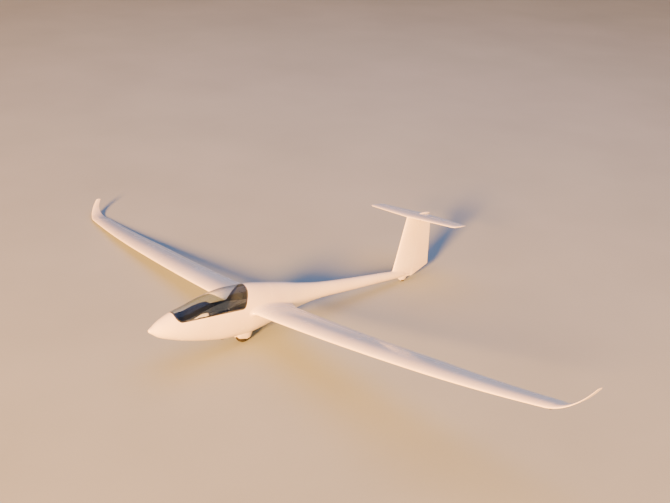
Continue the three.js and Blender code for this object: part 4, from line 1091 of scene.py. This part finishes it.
def makeGapTapes():
    strips = []
    for name, (inboard, outboard, _, _) in flaperons.items():
        places = wingPlaces(np.linspace(inboard - 4, outboard + 4, 80))
        hinge = np.full(80, hingeShare)
        start, end, radii = flaperonLine(name)
        for side in (1, -1):
            surface = lambda u, lift: wingGrid(places, u, side, lift)
            strips.append(slotStrip(surface, hinge, places["chord"], (start, end), radii))
    bothSides("flaperonGapTape", together(*strips), "airframe", gapTape, slot="gelcoat")

    span = np.linspace(elevator["inboard"] + 3, elevator["outboard"] - 6, 40)
    lead, chord = stabiliserPlan(span)
    hinge = (stabiliser["hinge"] - lead) / chord
    half = [slotStrip(lambda u, lift: stabiliserAt(span, u, side, lift), hinge, chord, elevatorLine,
                      elevator["radii"]) for side in (1, -1)]
    piece("elevatorGapTape", together(*half, *map(mirrored, half)), "airframe", gapTape, slot="gelcoat")

    z = np.linspace(205, 1146, 50)
    leading, chord = finChord(z)
    (_, y0, z0), (_, y1, z1) = rudder["axis"]
    hinge = (y0 + (z - z0) * (y1 - y0) / (z1 - z0) - leading) / chord
    sides = [slotStrip(lambda u, lift: finAt(z, u, side, lift), hinge, chord, rudder["axis"],
                       rudder["radii"]) for side in (1, -1)]
    piece("rudderGapTape", together(*sides), "airframe", gapTape, slot="gelcoat")


def makeJointTapes():
    # bands of tape round the joints of wing and fairing, and of wing and winglet
    end, run = wing["root"], sectionRun(60)
    root = np.stack([fairingSection(np.full(len(run[0]), x), 0) for x in (end - 14, end - 7, end)])
    root = np.concatenate([root, wingGrid(wingPlaces([end + 7, end + 14]), *run)])
    tip = wingGrid(wingPlaces(winglet["joint"] + np.array([-12, -4, 4, 12])), *run)
    for name, grid in (("wingRootTape", root), ("wingletTape", tip)):
        part = sheetSolid(pushed(grid, 0.1), pushed(grid, 0.5))
        bothSides(name, part, "airframe", gapTape, slot="gelcoat")


def makeBrakeCaps():
    # a cap on each blade closes its slot, flush with the skin
    reach, half = airbrake["length"] / 2 + 3, airbrake["blade"] / 2 + 4
    places = wingPlaces(np.linspace(airbrake["centre"] - reach, airbrake["centre"] + reach, 40))
    centre = wingPlaces(airbrake["centre"])
    # the incidence moves the skin aft by 1.7
    middle = centre["leading"] + airbrake["chordwise"] * centre["chord"] - 1.7
    u = (middle + np.linspace(-half, half, 7)[None] - places["leading"][:, None]) / places["chord"][:, None]
    part = sheetSolid(wingGrid(places, u, 1, -3.0), wingGrid(places, u, 1, 0.3))
    bothSides("airbrakeCap", part, "airbrake_{}", gelcoat, slot="gelcoat")


makeGapTapes()
makeJointTapes()
makeBrakeCaps()
print("tapes and caps ready")

# Canopy fittings: the seal under its edge, hinge leaves and knuckles, and the sliding vent pane

canopyHinge = dict(x=-293, line=((540, 105), (1700, 140)), knuckle=5, length=44, leaf=14,
                   stations=(1000, 1620))
canopySeal = dict(outer=12.4, inner=16.5, reach=-9, lip=3)
vent = dict(front=690, rear=980, frameFront=1000, frameRear=1118, low=127, high=170)


def rod(centre, radius, length, along=(0, 1, 0), count=40, chamfer=0.8):
    # a bar with broken edges, its ends closed by strips across
    along = np.array(along, float) / np.linalg.norm(along)
    across = np.cross(along, (0, 0, 1) if abs(along[2]) < 0.9 else (1, 0, 0))
    across /= np.linalg.norm(across)
    up = np.cross(across, along)
    h = length / 2
    stops = [(-h, radius - chamfer), (-h + chamfer, radius), (h - chamfer, radius), (h, radius - chamfer)]
    unit = circle(1.0, count)
    spokes = unit[:, :1] * across + unit[:, 1:] * up
    return closedSkin(np.stack([np.array(centre, float) + along * s + r * spokes for s, r in stops]))


def wallSheet(y, z, wall, thick):  # a sheet along the body's port side between two depths; y, z are grids
    low, high = (gridOf(bodySide(y, z) - d, y, z) for d in (wall + thick, wall))
    return sheetSolid(low, high)


def makeCanopyFittings():
    rubber = canopyBand(canopySeal["outer"], canopySeal["inner"])
    rubber = carve(rubber, [canopySide(canopySeal["reach"])], "INTERSECT")
    rubber = carve(rubber, [canopySide(canopySeal["lip"])])
    rubber.name = "canopySeal"
    finished(rubber, "airframe", sealRubber, slot="hard_rubber")
    (y0, z0), (y1, z1) = canopyHinge["line"]
    level = lambda y: z0 + (y - y0) * (z1 - z0) / (y1 - y0)
    x, leaf = canopyHinge["x"], canopyHinge["leaf"]
    leaves = []
    for name, y in zip(("front", "rear"), canopyHinge["stations"]):
        z = level(y)
        skin = float(bodySide(y, z - 9))
        left, right = x - 5, 3 - skin
        fixed = together(rod((x, y, z), canopyHinge["knuckle"], canopyHinge["length"]),
                         boxSolid(((left + right) / 2, y, z - 9), (right - left, canopyHinge["length"], 12)))
        eased(piece(f"canopyHingeFixed_{name}", fixed, "airframe", zincSteel, slot="steel",
                    stands=(f"canopy_hinge_{name}",)), 1)
        aft = y + canopyHinge["length"] / 2 + 0.3 + leaf / 2
        z = level(aft)
        inner = -float(bodySide(aft, z)) + 14
        leaves += [rod((x, aft, z), canopyHinge["knuckle"], leaf),
                   boxSolid(((x + inner) / 2, aft, z + 2.5), (inner - x, leaf, 2.6)),
                   boxSolid((inner - 3, aft, z + 6), (6, leaf, 10))]
    eased(piece("canopyHingeLeaves", together(*leaves), "canopy", zincSteel, slot="steel"), 0.6)

    sill = lambda y: np.interp(y, *np.array(canopyEdge[:5], float).T)
    y = np.linspace(vent["front"], vent["rear"], 30)[:, None]
    share = np.linspace(0, 1, 12)[None]
    top = sill(y) + 8 + 62 * np.clip((y - vent["front"]) / 190, 0, 1) ** 0.8
    foot = sill(y) + canopy["slot"] + canopy["frameWidth"] - 6
    pane = wallSheet(y, foot + np.maximum(top - foot, 1) * share, canopy["glass"] + 0.6, 2.2)
    piece("ventPane", pane, "canopy", acrylicFrosted, slot="acrylic_glass")
    outline = rounded([(vent["frameFront"], vent["low"]), (vent["frameRear"], vent["low"] + 5),
                       (vent["frameRear"], vent["high"] + 5), (vent["frameFront"], vent["high"])], 16, 9)
    loops = np.stack([inset(outline, d) for d in (0, 2.5, 5, 7)])
    closed = np.concatenate([loops, loops[:, :1]], 1)
    rim = wallSheet(closed[..., 0], closed[..., 1], canopy["glass"] + 0.4, 4)
    piece("ventFrame", rim, "canopy", frameBlack, slot="black_frame")


makeCanopyFittings()
print("canopy fittings ready")

# Landing gear and the fairings round it

# station aft, half width, lowest point, or highest for the drive's fairing
mainFairingRows = [(1560, 46, -400), (1640, 76, -416), (1690, 92, -446), (1750, 108, -494),
                   (1865, 110, -517), (1920, 104, -530), (1975, 88, -520), (2040, 56, -440)]
tailFairingRows = [(5560, 10, 44), (5600, 22, 10), (5650, 31, -18), (5700, 34, -27), (5750, 29, -12),
                   (5815, 12, 46)]
driveFairingRows = [(6030, 6, 1286), (6080, 16, 1298), (6150, 24, 1308), (6220, 27, 1312),
                    (6290, 20, 1308), (6335, 7, 1298)]
# height and half width, as shares of the tyre's
tyreShape = [(0, 0.72), (0.25, 0.94), (0.62, 1.0), (0.86, 0.78), (0.97, 0.42), (1.0, 0.0)]
gear = dict(legX=60, legThick=8, legWidth=44, axle=12, tailAxle=5, roof=183.7)


def blister(rows, top, stations, sides):
    # lower half z = top + (top - low) sin a, upper half nearly flat: z = top + 20 sin a
    table = smoothLine(rows, stations)
    a = ringAngles(sides)
    up = np.sin(a)
    y, half, low = (table[:, k][:, None] for k in range(3))
    return closedSkin(gridOf(half * np.cos(a), y, np.where(up > 0, top + 20 * up, top + (top - low) * up)))


def makeFairings():
    for name, shape, wheel, ends in (
            ("main", (mainFairingRows, -360, 70, 96), mainWheel, (1400, 2300)),
            ("tail", (tailFairingRows, 60, 50, 72), tailWheel, (5300, 5868))):
        tools = [closedSkin(bodyGrid(np.linspace(*ends, 40), 1, fuselage["sides"])), wheelWell(wheel)]
        fairing = carve(rawObject(f"{name}WheelFairing", blister(*shape)),
                        [rawObject("tool", t) for t in tools])
        finished(fairing, "airframe", gelcoat, slot="gelcoat", stands=(f"{name}_wheel_fairing",))
    a = ringAngles(56)
    y, half, high = (v[:, None] for v in smoothLine(driveFairingRows, 48).T)
    low = np.where(y > 6200, 1262, 1272) + 4 * np.clip((y - 6180) / 40, 0, 1)
    z = (high + low) / 2 + (high - low) / 2 * np.sin(a)
    drive = closedSkin(gridOf(half * np.cos(a), y, z))
    piece("elevatorDriveFairing", drive, "airframe", gelcoat, slot="gelcoat",
          stands=("elevator_drive_fairing",))


def tyreLoop(wheel, grooves, depth, count=240):
    # the section from bead over the crown to bead, with square-edged grooves at +- each place across
    span, half = wheel["radius"] - wheel["rim"], wheel["width"] / 2
    shape = [(wheel["rim"] + span * r, -w * half) for r, w in tyreShape]
    run = smoothLine(shape + [(r, -x) for r, x in shape[-2::-1]], count)
    crown = run[:, 0] > wheel["rim"] + 0.6 * span
    for place in grooves:
        run[:, 0] -= depth * crown * np.exp(-(((np.abs(run[:, 1]) - place) / 1.9) ** 6))
    ribs = np.exp(-(((run[:, 0] - wheel["rim"] - 0.33 * span) / (0.03 * span)) ** 4)) * 0.8
    run[:, 1] += np.sign(run[:, 1]) * ribs * ~crown
    return run


def bush(centre, bore, radius, half, chamfer, count):  # a tube along x with its outer edges broken
    rim = [(bore, half), (radius - chamfer, half), (radius, half - chamfer)]
    return lathe([(r, -x) for r, x in rim] + rim[::-1], centre, count)


def hexNut(centre, bore, flat, width):
    return bush(centre, bore, flat, width / 2, 1, 6)


def makeWheel(wheel, name, grooves, bore, bolts):
    centre, body = (0, wheel["y"], wheel["z"]), f"{name}_wheel"
    tyre = lathe(tyreLoop(wheel, grooves, 3.2), centre, 168)
    piece(f"{name}WheelTyre", tyre, body, tyreRubber, slot="tyre", sharp=50, stands=(f"{name}_tyre",))
    outer, half = wheel["rim"] - 0.3, wheel["rimWidth"] / 2
    rim = [(bore, 0.8), (bore + 0.28 * outer, 0.8), (bore + 0.34 * outer, 0.3),
           (0.84 * outer, 0.3), (0.88 * outer, 1), (outer, 1)]
    edge = [(r, -w * half) for r, w in rim] + [(r, w * half) for r, w in rim[::-1]]
    parts = [lathe(rounded(edge, 0.035 * outer, 5), centre, 120)]
    for k in range(bolts):
        t = 2 * math.pi * k / bolts
        at = 0.68 * outer
        for side in (-1, 1):
            out = side * (0.3 * half + 0.03 * outer)
            place = (out, centre[1] + at * math.cos(t), centre[2] + at * math.sin(t))
            parts.append(hexNut(place, 0.4, 0.075 * outer, 0.09 * outer))
    piece(f"{name}WheelHub", together(*parts), body, wheelAlloy, slot="wheel_alloy", stands=(f"{name}_hub",))


def makeGear():
    makeWheel(mainWheel, "main", (8, 23), gear["axle"] + 0.5, 8)
    makeWheel(tailWheel, "tail", (5,), gear["tailAxle"] + 0.4, 5)
    y, z = mainWheel["y"], mainWheel["z"]
    end = gear["legX"] + gear["legThick"]
    r = gear["axle"]
    nuts = [hexNut((s * (end - 0.2), y, z), r + 0.2, 19, 5) for s in (-1, 1)]
    axle = together(bush((0, y, z), 4, r, end, 1, 64), *nuts)
    piece("mainAxleTube", axle, "airframe", zincSteel, slot="steel", stands=("main_axle",))
    place = (0, tailWheel["y"], tailWheel["z"])
    bolt = bush(place, 1, gear["tailAxle"], tailWheel["width"] / 2 + 4.7, 0.6, 40)
    piece("tailAxleBolt", bolt, "airframe", zincSteel, slot="steel", stands=("tail_axle",))
    half = gear["legWidth"] / 2
    foot = np.radians(np.linspace(180, 360, 25))
    top = gear["roof"]
    roof = np.arcsin(np.linspace(half, -half, 9) / top)
    outline = np.concatenate([np.stack([y + half * np.cos(foot), z + half * np.sin(foot)], 1),
                              np.stack([y + top * np.sin(roof), z + top * np.cos(roof)], 1)])
    for name, side in (("port", 1), ("starboard", -1)):
        web = sideSlab(outline, gear["legThick"] / 2, side * gear["legX"])
        rib = boxSolid((side * (gear["legX"] + 5), y, z + 108), (5, 6, 130))
        eased(piece(f"mainLegPlate_{name}", together(web, rib), "airframe", zincSteel, slot="steel",
                    stands=(f"main_leg_{name}",)), 0.8)


skid = dict(share=0.045, length=190, width=26, depth=16)


def makeSkids():
    place = wingletPlaces(skid["share"])
    chord, slope = float(place["chord"]), float(place["slope"])
    under = float(halfThick(0.35, place["thick"])) * chord - float(camberAt(0.35, wing["camber"])) * chord
    width, length, depth = (skid[k] for k in ("width", "length", "depth"))
    box = boxSolid((0, 0, -under - depth / 2 + 4), (width, length, depth + 8))
    flare = boxSolid((0, 0, -under + 1), (width + 12, length + 12, 7))
    ridges = [boxSolid((dx, 0, -under - depth + 0.4), (3, length - 16, 0.8)) for dx in (-8, 0, 8)]
    centre = (float(place["x"]), float(place["leading"]) + chord * 0.4, float(place["z"]))
    part = placed(together(box, flare, *ridges), centre, (math.cos(slope), 0, math.sin(slope)), (0, 1, 0),
                  (-math.sin(slope), 0, math.cos(slope)))
    bothSides("tipSkidRubber", part, "airframe", hardRubber, "wing_tip_skid", 1.2, slot="hard_rubber")


hook = dict(y=1440, width=26, length=70, depth=22)


def makeHook():
    # two cheeks, a back plate, a beak that curls round the cable's ring, and a pivot
    belly = float(bodyReading(hook["y"], 2))
    y, low, top = hook["y"], belly - hook["depth"], belly + 6
    h = hook["length"] / 2
    cheek = rounded([(y - h, top), (y - h + 6, low), (y + h - 10, low), (y + h, top)], 10, 7)
    cheeks = [sideSlab(cheek, 2, s * (hook["width"] / 2 - 2)) for s in (-1, 1)]
    turn = np.radians(np.linspace(-60, 200, 26))
    path = np.stack([0 * turn, y - 6 + 9 * np.cos(turn), low + 12 + 8 * np.sin(turn)], 1)
    beak = closedSkin(tube(path, 1, (1, 0, 0), circle(3.6, 18)))
    back = boxSolid((0, y + h - 16, (low + top) / 2), (hook["width"] - 6, 8, top - low - 4))
    pivot = rod((0, y + 12, low + 12), 4, hook["width"] - 1, (1, 0, 0))
    hookParts = together(*cheeks, beak, back, pivot)
    eased(piece("towRelease", hookParts, "airframe", zincSteel, slot="steel", stands=("tow_hook",)), 0.7)


makeFairings()
makeGear()
makeSkids()
makeHook()
print("gear and fairings ready")

# Cockpit: seat, panel, hood and controls

seatRun = [(880, -262), (1000, -238), (1120, -262), (1240, -305), (1330, -318)]
backRun = [(1346, -330), (1420, -262), (1500, -150), (1600, 20), (1660, 130)]
floorRun = [(420, -176), (640, -235), (876, -268)]


def cabinHalf(run):  # half width of the cockpit along a side line
    return bodySide(run[:, 0], run[:, 1], fuselage["skin"])


def runNormals(run):
    d = np.gradient(run, axis=0)
    d /= np.linalg.norm(d, axis=1, keepdims=True)
    return np.stack([-d[:, 1], d[:, 0]], 1)


def padGrid(line, low, high, half, rows=46, sides=64):
    # sections across the aircraft along a side line: a squared ellipse between two heights over the line,
    # thinner towards both ends
    run = smoothLine(line, rows)
    normal = runNormals(run)
    a = ringAngles(sides)
    s = np.abs(np.linspace(-1, 1, rows))
    thin = np.sqrt(1 - np.clip((s - 0.94) / 0.0605, 0, 1) ** 2 * 0.9)[:, None]
    width = np.minimum(half, cabinHalf(run) - 7)[:, None]
    lift = (low + high) / 2 + (high - low) / 2 * squared(np.sin(a), 0.45)[None] * thin
    y, z = (run[:, k, None] + normal[:, k, None] * lift for k in (0, 1))
    return closedSkin(gridOf(width * squared(np.cos(a), 0.45)[None], y, z))


def puffed(obj, voxel, cap, rests, seams):
    # cloth swelled by pressure from a remeshed copy; no point moves further than cap or against rests, the
    # way that the pad faces; seams(points in aircraft mm) gives how deep each point is drawn in
    scene = bpy.context.scene
    mesher = obj.modifiers.new("remesh", "REMESH")
    mesher.mode, mesher.voxel_size = "VOXEL", voxel / 1000
    slots = list(obj.data.materials)
    bake(obj)
    mesh = obj.data
    mesh.materials.clear()
    for material in slots:
        mesh.materials.append(material)
    before = after = readRows(mesh.vertices, "co")
    cloth = obj.modifiers.new("cloth", "CLOTH")
    cloth.settings.use_pressure, cloth.settings.uniform_pressure_force = True, 4.0
    cloth.settings.effector_weights.gravity = 0.0
    cloth.settings.quality = 4
    cloth.point_cache.frame_start, cloth.point_cache.frame_end = 1, 20
    for step in range(1, 21):
        scene.frame_set(step)
    graph = bpy.context.evaluated_depsgraph_get()
    after = readRows(obj.evaluated_get(graph).to_mesh().vertices, "co")
    obj.evaluated_get(graph).to_mesh_clear()
    obj.modifiers.clear()
    scene.frame_set(1)
    move = after - before
    size = np.maximum(np.linalg.norm(move, axis=1, keepdims=True), 1e-9)
    move *= np.minimum(1, cap / 1000 / size)
    rests = np.asarray(rests, float) @ axes
    move += np.maximum(-(move @ rests), 0)[:, None] * rests
    at = before + move
    writePoints(mesh, at)
    facing = np.clip(readRows(mesh.vertices, "normal") @ rests, 0, 1)
    local = (at - noseTip) @ axes.T * 1000
    writePoints(mesh, at - (seams(local) * facing / 1000)[:, None] * rests)
    mesh.shade_smooth()
    finer = obj.modifiers.new("finer", "SUBSURF")
    finer.levels = finer.render_levels = 1
    return obj


def groove(distance, depth, wide):
    return depth * np.exp(-((distance / wide) ** 2))


# seams lie across a cushion at places along one axis (1 aft, 2 up), and one runs down each side
cushions = dict(
    seatCushion=dict(node="seat_pan", run=seatRun, top=12, half=146, faces=(0, 0.1, 0.99), axis=1,
                     seams=(955, 1040, 1125, 1210, 1290), depth=4.0, wide=4.5, side=112, sideDepth=3.0),
    seatBackCushion=dict(node="seat_back", run=backRun, top=14, half=158, faces=(0, -0.83, 0.55), axis=2,
                         seams=(-265, -190, -110, -30, 55), depth=4.5, wide=5.0, side=118, sideDepth=3.5),
)


def makeSeat():
    for name, c in cushions.items():
        skin = padGrid(c["run"], 2, c["top"], c["half"])
        pad = piece(name, skin, "airframe", seatCloth, slot="seat_fabric", stands=(c["node"],))
        channels = lambda p: (sum(groove(p[:, c["axis"]] - at, c["depth"], c["wide"]) for at in c["seams"])
                              + groove(np.abs(p[:, 0]) - c["side"], c["sideDepth"], c["wide"]))
        puffed(pad, 5, 6, c["faces"], channels)
    for name, run, half in (("seatPanShell", seatRun, 150), ("seatBackShell", backRun, 162)):
        line = smoothLine(run, 40)
        normal = runNormals(line)
        width = np.minimum(half, cabinHalf(line) - 3)[:, None]
        grids = []
        for lift in (-2.6, 0.4):
            y, z = (line[:, k, None] + normal[:, k, None] * lift for k in (0, 1))
            grids.append(gridOf(width * np.linspace(-1, 1, 14), y, z))
        piece(name, sheetSolid(*grids), "airframe", carbonLook, slot="cockpit_trim")


headrest = dict(y=1792.7, z=300.8, width=170, height=120, thick=36, lean=15.35)


def makeHeadrest():
    # a pillow: superellipsoid |x/a|^4 + |z/c|^4 with its two broad faces crowned
    t = np.linspace(-1, 1, 34)
    a = ringAngles(64)
    reach = (1 - np.abs(t) ** 4) ** 0.25
    half = (headrest["width"] / 2 - 5) * (0.88 + 0.12 * reach) * np.where(np.abs(t) == 1, 0.9, 1)
    deep = (headrest["thick"] / 2 - 4) * (0.25 + 0.75 * reach)
    x, y = half[:, None] * squared(np.cos(a), 0.5), deep[:, None] * squared(np.sin(a), 0.5)
    z = (headrest["height"] / 2 - 5) * t[:, None]
    lean = math.radians(headrest["lean"])
    centre = (0, headrest["y"], headrest["z"])
    aft, up = np.array([(0, math.cos(lean), -math.sin(lean)), (0, math.sin(lean), math.cos(lean))])
    part = placed(closedSkin(gridOf(x, y, z)), centre, (1, 0, 0), aft, up)
    pad = piece("headrestPad", part, "airframe", seatCloth, slot="seat_fabric", stands=("headrest",))
    seams = lambda p: groove(np.abs((p - centre) @ up) - 38, 2.5, 3.5)
    puffed(pad, 4, 5, -aft, seams)


def strap(path, width, thick, across=(1, 0, 0), lift=(0, -0.5, 0.86)):
    path, across, lift = smoothLine(path, 60), np.array(across, float), np.array(lift, float)
    v = np.linspace(-0.5, 0.5, 5)[None, :, None]
    low = path[:, None] + across * v * width
    return sheetSolid(low, low + lift / np.linalg.norm(lift) * thick)


belt = dict(width=44, thick=1.8,  # over a shoulder, and round the lap
            over=[(52, 1785, 206), (56, 1740, 174), (60, 1684, 168), (62, 1640, 138), (60, 1560, -12),
                  (52, 1470, -158), (34, 1395, -256), (20, 1340, -283)],
            lap=[(136, 1400, -252), (110, 1372, -268), (60, 1335, -284), (22, 1310, -287)])


def makeHarness():
    parts = []
    size = belt["width"], belt["thick"]
    for side in (-1, 1):
        over, lap = (np.array(belt[k], float) * (side, 1, 1) for k in ("over", "lap"))
        parts.append(strap(over, *size, lift=(0, -0.83, 0.55)))
        parts.append(strap(lap, *size, (0, 0.97, -0.2), (0, 0.2, 0.97)))
    piece("harnessWebbing", together(*parts), "airframe", webbing, slot="seat_fabric")
    shape = [(3, -9), (24, -9), (27, -6), (27, 4), (23, 8), (10, 9), (9, 12), (3, 12)]
    disc = placed(lathe(shape, (0, 0, 0), 72), (0, 1318, -272), (0, -0.35, 0.94), (1, 0, 0), (0, 0.94, 0.35))
    slide = boxSolid((0, 0, 0), (belt["width"] + 8, 22, 5))
    adjusters = [placed(slide, (60 * s, 1596, 62), (1, 0, 0), (0, 0.5, 0.86), (0, -0.86, 0.5))
                 for s in (-1, 1)]
    eased(piece("harnessBuckles", together(disc, *adjusters), "airframe", zincSteel, slot="steel"), 0.8)


panel = dict(y=1120, z=140, width=330, height=190, thick=14, lean=18)
dials = [(-105, 42), (-36, 46), (36, 46), (105, 42), (-105, -34), (105, -34)]  # x, up
dialRadius = 31


def panelFrame():
    lean = math.radians(panel["lean"])
    return dict(centre=(0, panel["y"], panel["z"]), across=(1, 0, 0),
                along=(0, math.cos(lean), math.sin(lean)), up=(0, -math.sin(lean), math.cos(lean)))


def faceDisc(x, z, profile, count=48):  # (radius, depth aft) pairs turned about the panel's normal
    points, faces = lathe(profile, (0, 0, 0), count)
    return points[:, [1, 0, 2]] + (x, 0, z), faces[:, ::-1]


def clockTurn(t):  # the three axes of something turned by t on the panel's face
    return (math.cos(t), 0, -math.sin(t)), (0, 1, 0), (math.sin(t), 0, math.cos(t))


def makePanel():
    f = panelFrame()
    front = panel["thick"] / 2
    w, h = panel["width"] / 2, panel["height"] / 2
    edge = rounded([(-w, -h), (w, -h), (w, h * 0.45), (w * 0.72, h), (-w * 0.72, h), (-w, h * 0.45)], 18, 7)
    plate = closedSkin(gridOf(edge[None, :, 0], np.array([[-front], [front]]), edge[None, :, 1]))
    eased(piece("instrumentPlate", placed(plate, **f), "airframe", panelBlack, slot="black_frame",
                stands=("instrument_panel",)), 1)
    rings, faces, marks = [], [], []
    r = dialRadius
    bezel = [(r - 4, 0.2), (r - 4, 3.2), (r - 1.5, 4), (r, 2.8), (r, 0.2)]
    disc = [(0.3, 0.3), (0.3, 1), (r - 4, 1), (r - 4, 0.3)]
    bezel, disc = ([(a, front + d) for a, d in shape] for shape in (bezel, disc))
    out = r - 8.5
    for x, z in dials:
        rings.append(faceDisc(x, z, bezel))
        faces.append(faceDisc(x, z, disc))
        for k in range(12):
            t = 2 * math.pi * k / 12
            tick = boxSolid((0, 0, 0), (1.1, 0.4, 4.5 if k % 3 else 6.5))
            place = (x + out * math.sin(t), front + 1.25, z + out * math.cos(t))
            marks.append(placed(tick, place, *clockTurn(t)))
        needle = boxSolid((0, 0, 7), (1.6, 0.5, 22))
        marks.append(placed(needle, (x, front + 1.9, z), *clockTurn(0.9 + 0.013 * x)))
    screen = boxSolid((0, front + 3, -30), (112, 6, 74))
    unit = boxSolid((0, front + 2, -80), (112, 5, 18))
    glassFace = boxSolid((0, front + 6.2, -27), (98, 0.6, 56))
    knobs = [rodIn(x, -80, front + 7, 5, 9) for x in (-46, 46)]
    switches = [rodIn(x, -80, front + 6, 2.2, 13) for x in (-112, -96, -80, 80, 96, 112)]
    eased(piece("instrumentBezels", placed(together(*rings, screen, unit, *knobs), **f), "airframe",
                trimGrain, slot="cockpit_trim"), 0.5)
    piece("dialFaces", placed(together(*faces, glassFace), **f), "airframe", dialBlack, slot="black_frame")
    piece("dialMarks", placed(together(*marks), **f), "airframe", dialWhite, slot="gelcoat")
    piece("panelSwitches", placed(together(*switches), **f), "airframe", zincSteel, slot="steel")


def rodIn(x, z, y, radius, length):  # a short rod that stands out of the panel
    return rod((x, y, z), radius, length, (0, 1, 0), 24, 0.6)


# station aft, half width, top, bottom
hoodRows = [(466, 118, 74, 52), (570, 150, 92, 60), (700, 178, 148, 84), (850, 190, 204, 110),
            (1000, 194, 244, 132), (1165, 188, 262, 160)]


def makeHood():
    # loft of squared ellipses, cut off along the back of the panel, with a rolled rear lip
    y, half, high, low = (v[:, None] for v in smoothLine(hoodRows, 60).T)
    a = ringAngles(96)
    z = (high + low) / 2 + (high - low) / 2 * squared(np.sin(a), 0.7)
    hood = rawObject("instrumentHood", closedSkin(gridOf(half * squared(np.cos(a), 0.7), y, z)))
    f = panelFrame()
    behind = boxSolid((0, 150 - panel["thick"] / 2 - 0.3, panel["height"] / 2 + 0.3 - 200), (500, 300, 400))
    carve(hood, [rawObject("behind", placed(behind, **f))])
    eased(finished(hood, "airframe", hoodCloth, slot="cockpit_trim", stands=("instrument_cowl",)), 2, 3)


pedestal = [(800, None), (868, None), (1090, -60), (1139.9, 55), (1123.7, 105), (1020, 90), (880, -60)]
pedal = dict(x=80, half=36, tread=66, bar=84)
stickRun = [(0, 1212, -280), (0, 1208, -160), (0, 1200, -60), (0, 1206, 8)]
rail = dict(z=-78, height=36)


def onFloor(y):
    return float(np.interp(y, *np.array(floorRun, float).T)) + 8.4


def ball(centre, radii, rows=24, sides=36, power=1.0):
    # poles on the z axis: radius sin(t)^power round it, height cos(t)
    t = np.linspace(0.04, np.pi - 0.04, rows)[:, None]
    a = ringAngles(sides)[None]
    r = np.sin(t) ** power
    grid = gridOf(r * np.cos(a) * radii[0], r * np.sin(a) * radii[1], np.cos(t) * radii[2])
    return closedSkin(grid + np.asarray(centre, float))


def makeControls():
    outline = [(y, onFloor(y) if z is None else z) for y, z in pedestal]
    block = sideSlab(rounded(outline, 9, 5), 60)
    eased(piece("pedestalMoulding", block, "airframe", trimGrain, slot="cockpit_trim",
                stands=("instrument_pedestal",)), 5, 3)
    path = smoothLine(stickRun, 70)
    s = np.linspace(0, 1, 70)
    grip = np.clip((s - 0.68) / 0.06, 0, 1)
    fingers = 1.3 * np.cos((s - 0.7) * 2 * np.pi / 0.075)
    radius = 8 + grip * (7.5 + fingers) - 5 * np.clip((s - 0.985) / 0.015, 0, 1)
    unit = circle(1.0, 36)
    handle = closedSkin(tube(path, 1, (1, 0, 0), radius[:, None, None] * unit[None]))
    button = ball((0, 1207, 12), (6, 6, 5))
    piece("controlStickGrip", together(handle, button), "airframe", gripRubber, slot="black_frame",
          stands=("control_stick",))
    turns = np.linspace(0, 1, 50)[:, None]
    radius = 44 - 30 * turns**0.7 + 2.6 * np.cos(turns * 2 * np.pi * 6)
    t = np.arange(60) / 60 * 2 * np.pi
    gaiter = closedSkin(gridOf(radius * np.cos(t), 1211 + radius * np.sin(t), -292 + 48 * turns))
    piece("stickGaiter", gaiter, "airframe", sealRubber, slot="hard_rubber")
    shape = [(512, onFloor(512)), (526, onFloor(526)), (488, -58), (474, -62)]
    for name, side in (("port", 1), ("starboard", -1)):
        x = side * pedal["x"]
        parts = [sideSlab(rounded(shape, 5, 4), pedal["half"], x)]
        aft = np.array([shape[2][0] - shape[1][0], shape[2][1] - shape[1][1]])
        aft /= np.linalg.norm(aft)
        for k in range(6):
            y, z = np.array(shape[1]) + aft * (28 + 17 * k)
            parts.append(rod((x, y + 0.5, z), 2.4, pedal["tread"], (1, 0, 0), 16))
        parts.append(rod((x, 481, -60), 8, pedal["bar"], (1, 0, 0), 32))
        eased(piece(f"rudderPedalPlate_{name}", together(*parts), "airframe", zincSteel, slot="steel",
                    stands=(f"rudder_pedal_{name}",)), 0.8)
    foot = rail["z"] + rail["height"] / 2 + 0.3
    for name, node, y, tall, knob, finish, slot in (
            ("airbrakeLever", "airbrake_lever", 1080, 90, 13, knobBlue, "blue_knob"),
            ("flapLever", "flap_lever", 1230, 72, 11, panelBlack, "black_frame")):
        arm = boxSolid((196, y, foot + tall / 2), (8, 14, tall))
        grip = ball((190, y, foot + tall), (knob + 1, knob + 1, 35), 40, 40, 0.35)
        eased(piece(name, together(arm, grip), "airframe", finish, slot=slot, stands=(node,)), 1)


makeSeat()
makeHeadrest()
makeHarness()
print("seat and harness ready")
makePanel()
makeHood()
makeControls()
print("panel and controls ready")

# Solids of the frame that show as they are get their finish
bare = dict(cockpit_floor=liningFelt, side_rail_port=trimGrain, side_rail_starboard=trimGrain)
for node, finish in bare.items():
    for place in bpy.data.objects[node].material_slots:
        place.material = finish
